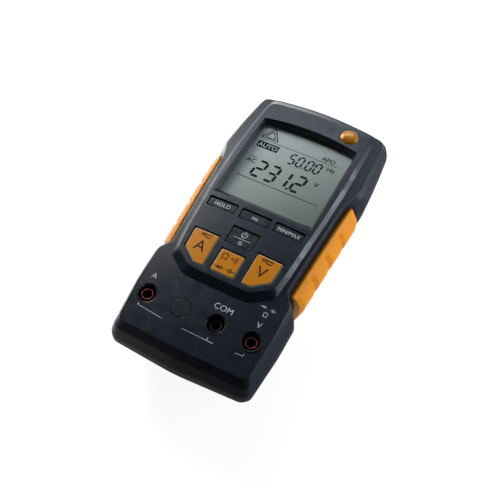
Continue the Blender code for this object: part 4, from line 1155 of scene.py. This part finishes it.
def rear_shell():
    """Tapered tray with the stand's trough, the battery bay, screw wells and foot recesses."""
    top = PARTING_Z - 0.3
    # Share of the taper, growth and height of each ring, down the outside and up the inside.
    rows = [(0.0, 0.0, top), (0.42, 0.0, 14.5), (0.86, 0.0, 3.4), (1.0, 0.0, BACK_Z),
            (1.0, -1.4, BACK_Z + 2.2), (0.86, -2.6, 5.2), (0.42, -2.4, 15.0), (0.0, -WALL_THICK, top)]
    rings = [at_height(whole(between(CASE_RIM, BACK_EDGE, share), grow), z) for share, grow, z in rows]
    back = filleted([rings[2], rings[3], at_height(whole(BACK_EDGE, -2.0), BACK_Z)], [1.0], 4)
    wall = filleted(rings[:3] + [back[1]], [1.5, 1.5], 3)
    tray = Skin()
    rim = filleted([rings[-2], rings[-1], rings[0], wall[1]], [0.2, 0.2], 2)
    tray.strip(rim[1:-1] + wall[1:] + back[2:])
    tray.strip([rings[4], rings[5], rings[6], rim[1]])
    tray.face(back[-1])
    tray.face(rings[4])
    bay = rectangle(BAY_HALF_X + 3.0, BAY_LOW_Y - 2.8, BAY_HIGH_Y + 2.8, 1.5)
    ledge = rectangle(BAY_HALF_X + 3.2, DOOR_LOW_Y - 1.2, BAY_LOW_Y, 0.8)
    blocks = [prism(trough_outline(2.3), BACK_Z + 1.0, TROUGH_ROOF_Z + 1.6),
              prism(bay, BACK_Z + 1.1, BAY_ROOF_Z + 1.5), prism(ledge, BACK_Z + 1.05, BACK_Z + 4.0),
              prism(circle(0, DOOR_SCREW_Y, 4.0, 40), BACK_Z + 1.2, 12.4)]
    blocks += [prism(circle(x, y, 4.2, 40), BACK_Z + 0.9, top) for x, y in CASE_SCREWS.values()]
    door = (DOOR_HALF_X + 0.3, DOOR_LOW_Y - 0.3, DOOR_HIGH_Y + 0.3, 1.3)
    pivot_x = STAND_HALF_X + 3.4
    pockets = [cutter(lambda grow: trough_outline(0.5 + grow), TROUGH_ROOF_Z, 0.35),
               cutter(lambda grow: rectangle(*door, grow), BACK_Z + DOOR_THICK + 0.3, 0.2),
               prism(rectangle(BAY_HALF_X, BAY_LOW_Y, BAY_HIGH_Y, 1.0), BACK_Z - 2, BAY_ROOF_Z),
               prism(circle(0, DOOR_SCREW_Y, 1.6, 32), BACK_Z, 11.0),
               along_x([(-pivot_x, 1.3), (pivot_x, 1.3)], STAND_AXIS_Y, STAND_AXIS_Z, 32)]
    for x, y in CASE_SCREWS.values():
        pockets.append(cutter(lambda grow, x=x, y=y: circle(x, y, 2.9 + grow, 40), 9.0, 0.3))
        pockets.append(prism(circle(x, y, 1.6, 28), 8.0, PARTING_Z + 1))
    for node in feet_nodes():
        x, y = centre(node)
        pockets.append(cutter(lambda grow, x=x, y=y: circle(x, y, 4.15 + grow, 56), BACK_Z + 0.8, 0.15))
    steps = [("UNION", block) for block in blocks] + [("DIFFERENCE", pocket) for pocket in pockets]
    points, faces = combined(tray, steps)
    return add_piece("rear_case", points, faces, "case", FINISHES["rear"], slot="case_plastic",
                     stands_for=["rear_shell"], sharp=30)


def feet_nodes():
    return [name for name in sorted(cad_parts) if name.startswith("foot_")]


def feet():
    """Rubber feet with a rounded tread edge."""
    radius = 4.0
    for name in feet_nodes():
        _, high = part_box(name)
        profile = [(0.9, 0.12), (1.1, 0.0), (radius - 0.6, 0.0), (radius - 0.3, 0.04), (radius - 0.1, 0.16),
                   (radius, 0.4), (radius, high.z / MM)]
        lathe(name.replace("foot_", "rubber_foot_"), profile, *centre(name), "case", FINISHES["foot"], 56,
              slot="foot_rubber", stands_for=[name])


# ---------------------------------------------------------------- stand, door and screws
def stand():
    """Tilt stand: a U of rounded bars with a thumb notch, a shallow groove and round pivots."""
    out, low, high = STAND_HALF_X, STAND_LOW_Y, STAND_AXIS_Y
    inner, cross = out - STAND_BAR, low + STAND_BAR + STAND_CROSS_EXTRA
    points = bail_points(out, STAND_BAR, low, high)
    turns = [2.6, 2.6, 0.8, 0.8, 1.6, 1.6, 0.8, 0.8]
    base_z, top_z = BACK_Z + 0.3, BACK_Z + 3.5

    straights = [10, 12, 1, 12, 8, 12, 1, 12]

    def outline(grow):
        return turned_corners(grown(points, grow) if grow else points, turns, straights, 6)

    bail = solid(filleted([at_height(outline(-1.0), base_z), at_height(outline(0), base_z),
                           at_height(outline(0), top_z), at_height(outline(-1.0), top_z)], [0.5, 0.35], 3))
    steps = []
    for side in (-1, 1):
        ends = sorted((side * (inner + 0.02), side * (out - 0.02)))
        steps.append(("UNION", along_x([(ends[0], 1.75), (ends[0] + 0.2, 1.95), (ends[1] - 0.2, 1.95),
                                        (ends[1], 1.75)], high, STAND_AXIS_Z)))
        ends = sorted((side * (inner + 2), side * (out + 3.1)))
        steps.append(("UNION", along_x([(x, 1.2) for x in ends], high, STAND_AXIS_Z, 32)))
    flares = [(base_z - 0.6, 0.9), (base_z + 0.3, 0.0), (top_z - 0.3, 0.0), (top_z + 0.6, 0.9)]
    notch = solid([at_height(circle(0, low - 3.2, 6.0 + grow, 64), z) for z, grow in flares])
    steps.append(("DIFFERENCE", notch))
    for side in (-1, 1):
        near, far = side * (inner + 1.6), side * (out - 1.6)
        groove = [(near, cross), (far, cross), (far, high - 6), (near, high - 6)]
        steps.append(("DIFFERENCE", solid([at_height(rounded(groove, 1.0, 5, 60, grow), z)
                                           for z, grow in ((base_z - 0.4, 0.5), (base_z + 0.3, -0.2))])))
    points_made, faces = combined(bail, steps)
    add_piece("tilt_stand", points_made, faces, "stand", FINISHES["stand"], slot="case_plastic",
              stands_for=["stand"], sharp=30)


def battery_door():
    """Door with rounded edges, finger ridges and a sink for its screw."""
    low_z, high_z = BACK_Z + 0.05, BACK_Z + DOOR_THICK
    edge = [(-0.6, low_z), (0, low_z), (0, high_z), (-0.6, high_z)]
    plate = solid(filleted([at_height(rectangle(DOOR_HALF_X, DOOR_LOW_Y, DOOR_HIGH_Y, 1.2, grow), z)
                            for grow, z in edge], [0.35, 0.2], 3))
    steps = []
    for k in range(5):
        y = 4.0 + 2.2 * k
        ridge = [(0.0, low_z + 0.4), (0.0, low_z - 0.2), (-0.12, low_z - 0.38), (-0.3, low_z - 0.45)]
        steps.append(("UNION", solid([at_height(rectangle(9 + grow, y - grow, y + 1.0 + grow, 0.49 + grow), z)
                                      for grow, z in ridge])))
    sink = [(3.3, low_z - 0.4), (2.9, low_z + 0.2), (2.9, low_z + 1.0)]
    steps.append(("DIFFERENCE", solid([at_height(circle(0, DOOR_SCREW_Y, r, 48), z) for r, z in sink])))
    steps.append(("DIFFERENCE", prism(circle(0, DOOR_SCREW_Y, 1.6, 32), low_z - 1, high_z + 1)))
    arrow = [(-2.2, -35.0 + 0.6), (2.2, -35.0 + 0.6), (0.0, -35.0 - 2.0)]
    steps.append(("DIFFERENCE", solid([at_height(rounded(arrow, 0.4, 3, 9, grow), z)
                                       for z, grow in ((low_z - 0.4, 0.5), (low_z + 0.35, -0.1))])))
    points, faces = combined(plate, steps)
    add_piece("battery_cover", points, faces, "battery_door", FINISHES["rear"], slot="case_plastic",
              stands_for=["battery_door"], sharp=30)


def screw(node, body, head_radius, shank_radius):
    """Pan-head screw with a cross recess and a ridged shank, head first from behind."""
    low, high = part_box(node)
    x, y = centre(node)
    head_z, tip_z, thick = low.z / MM, high.z / MM, 1.7
    profile = [(0.002, head_z), (head_radius * 0.55, head_z + 0.02)]
    for k in range(7):
        t = math.pi / 2 * k / 6
        profile.append((head_radius - 0.62 * (1 - math.sin(t)), head_z + 0.05 + 0.62 * (1 - math.cos(t))))
    profile += [(head_radius, head_z + thick - 0.15), (head_radius - 0.15, head_z + thick),
                (shank_radius, head_z + thick)]
    pitch, z = 0.5, head_z + thick + 0.6
    while z + pitch < tip_z - 0.9:
        profile += [(shank_radius - 0.14, z), (shank_radius - 0.02, z + 0.2), (shank_radius - 0.02, z + 0.28)]
        z += pitch
    profile += [(shank_radius - 0.14, tip_z - 0.8), (shank_radius * 0.4, tip_z), (0.002, tip_z)]
    body_skin = solid([at_height(circle(x, y, r, 48), z) for r, z in profile])
    a, b = 0.4, head_radius * 0.62
    cross = [(a, -a), (b, -a), (b, a), (a, a), (a, b), (-a, b), (-a, a), (-b, a), (-b, -a), (-a, -a),
             (-a, -b), (a, -b)]
    recess = solid([at_height([(x + p * share, y + q * share) for p, q in cross], z)
                    for z, share in ((head_z - 0.5, 1.12), (head_z + 1.0, 0.62))])
    points, faces = combined(body_skin, [("DIFFERENCE", recess)])
    add_piece(node + "_steel", points, faces, body, FINISHES["steel"], slot="steel", stands_for=[node],
              sharp=35)


def screws():
    for name in CASE_SCREWS:
        screw("case_screw_" + name, "case", 2.5, 1.2)
    for name in BOARD_SCREWS:
        screw("board_screw_" + name, "case", 2.3, 0.9)
    screw("door_screw", "door_screw", 2.6, 1.3)


def socket_sleeves():
    """Metal sleeves of the sockets, each with a flat tail that rises to the board."""
    for name in SOCKETS:
        x, y = centre("jack_shroud_" + name)
        low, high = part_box("jack_sleeve_" + name)
        base, top = low.z / MM, high.z / MM
        rings = [at_height(circle(x, y, r, 48), z) for r, z in
                 ((2.0, base), (2.15, base), (2.15, top - 0.1), (2.1, top), (2.03, top), (2.0, top - 0.08))]
        sleeve = Skin()
        sleeve.strip(rings, loop=True)
        tail_x = max(-24.5, min(24.5, x))
        left, right = min(x, tail_x) - 0.8, max(x, tail_x) + 0.8
        foot_z, rise_z, bend_y = base + 0.1, 29.2, -51.6
        tail = [((left, y + 2.05), (right, bend_y), foot_z, foot_z + 0.8),
                ((tail_x - 0.8, bend_y - 0.8), (tail_x + 0.8, bend_y), foot_z + 0.02, rise_z),
                ((tail_x - 0.8, bend_y - 0.78), (tail_x + 0.8, high.y / MM), rise_z - 0.8, rise_z - 0.02)]
        steps = []
        for (x1, y1), (x2, y2), z1, z2 in tail:
            outline = rounded([(x1, y1), (x2, y1), (x2, y2), (x1, y2)], 0.12, 2, 40)
            steps.append(("UNION", prism(outline, z1, z2)))
        points, faces = combined(sleeve, steps)
        add_piece("socket_sleeve_" + name, points, faces, "case", FINISHES["brass"], slot="brass",
                  stands_for=["jack_sleeve_" + name], sharp=35)


# ---------------------------------------------------------------- batteries
def battery():
    """Cells with a film jacket over steel, tapering springs and contact plates."""
    for k in range(3):
        side = -1 if k == 1 else 1
        low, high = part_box(f"battery_cell_{k + 1}")
        x, z = (low.x + high.x) / 2 / MM, (low.z + high.z) / 2 / MM
        start = (low.y if side == 1 else high.y) / MM
        length = (high.y - low.y) / MM
        radius = 5.2
        profile = [(0.25, 3.2), (0.05, 3.8), (0.0, 4.3), (0.1, 4.8), (0.35, 5.08), (0.7, radius),
                   (5.0, radius), (length - 7.5, radius), (length - 2.2, radius), (length - 1.7, 5.1),
                   (length - 1.3, 4.85), (length - 1.05, 4.5), (length - 1.0, 2.2), (length - 0.9, 1.9),
                   (length - 0.2, 1.85), (length, 1.65)]
        skin = along_y([(start + side * along, r) for along, r in profile], x, z)
        cell = add_skin(f"cell_{k + 1}", skin, "case", FINISHES["jacket"], slot="cell_jacket",
                        stands_for=[f"battery_cell_{k + 1}"])
        cell.data.materials.append(FINISHES["steel"])
        cell.data.materials.append(FINISHES["jacket_band"])
        for face in cell.data.polygons:
            along = (face.center.y / MM - start) * side
            if along < 0.6 or along > length - 1.6:
                face.material_index = 1
            elif along > length - 7.5:
                face.material_index = 2
        spring(k + 1, x, side)
    for k in range(1, 5):
        low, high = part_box(f"contact_plate_{k}")
        corners = [(low.x / MM, low.z / MM), (high.x / MM, low.z / MM), (high.x / MM, high.z / MM),
                   (low.x / MM, high.z / MM)]
        rings = [[(x, y / MM, z) for x, z in rounded(corners, 0.8, 5, 40, grow)]
                 for y, grow in ((low.y, -0.5), (low.y, 0.0), (high.y, 0.0), (high.y, -0.5))]
        add_skin(f"contact_{k}", solid(filleted(rings, [0.12, 0.12], 2)), "case", FINISHES["steel"],
                 slot="steel", stands_for=[f"contact_plate_{k}"])


def spring(number, x, side):
    """Tapering contact spring along Y."""
    node = f"battery_spring_{number}"
    low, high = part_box(node)
    turns, per_turn, wire, sides, wide, narrow = 3, 28, 0.29, 10, 3.3, 2.1
    start_y, end_y = (low.y / MM + wire, high.y / MM - wire)[::side]
    steps = turns * per_turn
    rings = []
    for k in range(steps + 1):
        share = k / steps
        angle = 2 * math.pi * k / per_turn
        radius = wide + (narrow - wide) * share
        ring = []
        for j in range(sides):
            t = 2 * math.pi * j / sides
            out = radius + wire * math.cos(t)
            ring.append((x + out * math.cos(angle), start_y + (end_y - start_y) * share + wire * math.sin(t),
                         CELL_Z + out * math.sin(angle)))
        rings.append(ring)
    add_skin(f"spring_{number}", solid(rings), "case", FINISHES["steel"], slot="steel", stands_for=[node])


# ---------------------------------------------------------------- carried-over CAD nodes
CARRIED = {
    "lcd_backlight": "diffuser", "lcd_connector": "silicone", "main_board": "board",
    "keypad_mat": "silicone", "measuring_chip": "chip", "current_shunt": "shunt", "buzzer": "chip",
    "fuse": "ceramic", "fuse_clip": "brass",
}


def carried_nodes():
    """Procedural finishes on the CAD pieces that nothing replaces."""
    for name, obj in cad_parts.items():
        if obj.hide_render:
            continue
        kind = max((k for k in CARRIED if name.startswith(k)), key=len)
        obj.data.materials.clear()
        obj.data.materials.append(FINISHES[CARRIED[kind]])


# ---------------------------------------------------------------- studio
# Place, aim, size, power and colour of each light.
LIGHTS = {
    "key_light": ((-0.60, 0.42, 0.42), (0, 0.02, 0.03), (0.25, 0.35), 4.6, WHITE),
    "top_light": ((-0.24, 0.66, 0.56), (0, 0.05, 0.03), (0.45, 0.2), 1.0, (0.8, 0.9, 1.0)),
    "side_light": ((0.72, 0.36, 0.12), (0, 0, 0.03), (0.4, 0.16), 2.0, (0.85, 0.93, 1.0)),
    "fill_light": ((0.62, 0.50, 0.04), (0, 0, 0.03), (0.3, 0.2), 4.2, (1.0, 0.95, 0.9)),
    "under_light": ((0.1, -0.1, -0.7), (0, 0, 0), (0.9, 0.9), 9.0, WHITE),
}
CAMERA_PLACE = (0.1109, -0.1942, 0.3784)
CAMERA_HEADING, CAMERA_TILT, CAMERA_ROLL = 30.69, 31.54, -3.25
CAMERA_LENS = 57.66
FLOOR_REACH = 3.0


def lights():
    """Soft boxes; the fill isn't reflected, so that it lights the grips and leaves the case dark."""
    for name, (place, aim, size, power, colour) in LIGHTS.items():
        data = bpy.data.lights.new(name, "AREA")
        data.shape = "RECTANGLE"
        data.size, data.size_y = size
        data.energy = power
        data.color = colour
        light = bpy.data.objects.new(name, data)
        light.location = place
        light.rotation_euler = (Vector(aim) - Vector(place)).to_track_quat("-Z", "Y").to_euler()
        light.visible_glossy = name != "fill_light"
        bpy.context.scene.collection.objects.link(light)


def camera():
    """View from above the socket end and a little to the right, rolled so that the case leans."""
    data = bpy.data.cameras.new("camera")
    data.sensor_width = 36.0
    data.lens = CAMERA_LENS
    data.clip_start = 0.01
    seen_from = bpy.data.objects.new("camera", data)
    turn = (Matrix.Rotation(math.radians(CAMERA_HEADING), 4, "Z")
            @ Matrix.Rotation(math.radians(CAMERA_TILT), 4, "X")
            @ Matrix.Rotation(math.radians(CAMERA_ROLL), 4, "Z"))
    seen_from.matrix_world = Matrix.Translation(CAMERA_PLACE) @ turn
    bpy.context.scene.collection.objects.link(seen_from)
    bpy.context.scene.camera = seen_from


def sky():
    """White to the camera; to all else a pale blue, brighter towards the display end and dark below."""
    world = bpy.data.worlds.new("studio")
    tree = Shading(world)
    where = tree.node("TexCoord", output="Generated")
    upper = tree.math("MULTIPLY", tree.ranged(tree.axis(where, "Y"), 0.03, 0.32, 0.15, 0.7),
                      tree.math("GREATER_THAN", tree.axis(where, "Z"), 0.0))
    background = tree.nodes["Background"]
    tree.give(background.inputs["Strength"], tree.ranged(tree.ray("Camera"), upper, 1.0))
    tree.give(background.inputs["Color"], tree.mix(tree.ray("Camera"), (0.80, 0.90, 1.0), WHITE))
    bpy.context.scene.world = world


def floor_finish():
    """Matt pale paper that glows to the camera and in reflections on the left, and is clear from below."""
    paper = bpy.data.materials.new("floor_paper")
    tree = Shading(paper)
    shader = tree.nodes["Principled BSDF"]
    for socket, value in (("Roughness", 0.9), ("Specular IOR Level", 0.1), ("Base Color", (0.4, 0.4, 0.4))):
        tree.give(shader.inputs[socket], value)
    place = tree.node("NewGeometry", output="Position")
    reflected = tree.math("MULTIPLY", tree.ranged(tree.axis(place, "X"), 3.2, 0.0, -0.10, -0.02),
                          tree.ranged(tree.axis(place, "Y"), 0.12, 1.0, -0.11, -0.05))
    strength = tree.ranged(tree.ray("Camera"), tree.ranged(tree.ray("Glossy"), 0.0, reflected), 0.92)
    lit = tree.node("AddShader", {0: shader.outputs[0], 1: tree.node("Emission", {"Strength": strength})})
    hidden = tree.math("MAXIMUM", tree.node("NewGeometry", output="Backfacing"), tree.ray("Shadow"))
    surface = tree.node("MixShader", {0: hidden, 1: lit, 2: tree.node("BsdfTransparent")})
    tree.give(tree.nodes["Material Output"].inputs["Surface"], surface)
    return paper


def floor():
    """Large flat sheet that the meter rests on."""
    mesh = bpy.data.meshes.new("floor")
    corners = [(-1, -1), (1, -1), (1, 1), (-1, 1)]
    mesh.from_pydata([(x * FLOOR_REACH, y * FLOOR_REACH, 0) for x, y in corners], [], [(0, 1, 2, 3)])
    mesh.materials.append(floor_finish())
    sheet = bpy.data.objects.new("floor", mesh)
    bpy.context.scene.collection.objects.link(sheet)


def studio():
    bpy.context.scene.view_settings.view_transform = "Standard"
    camera()
    sky()
    lights()
    floor()


# ---------------------------------------------------------------- build
front_shell()
for key_name in KEYS:
    key(key_name)
key_print()
case_print()
display_cell()
display_pane()
display_marks()
for socket_name in SOCKETS:
    socket(socket_name)
socket_cover()
badge()
grips()
rear_shell()
feet()
stand()
battery_door()
screws()
socket_sleeves()
battery()
carried_nodes()
studio()
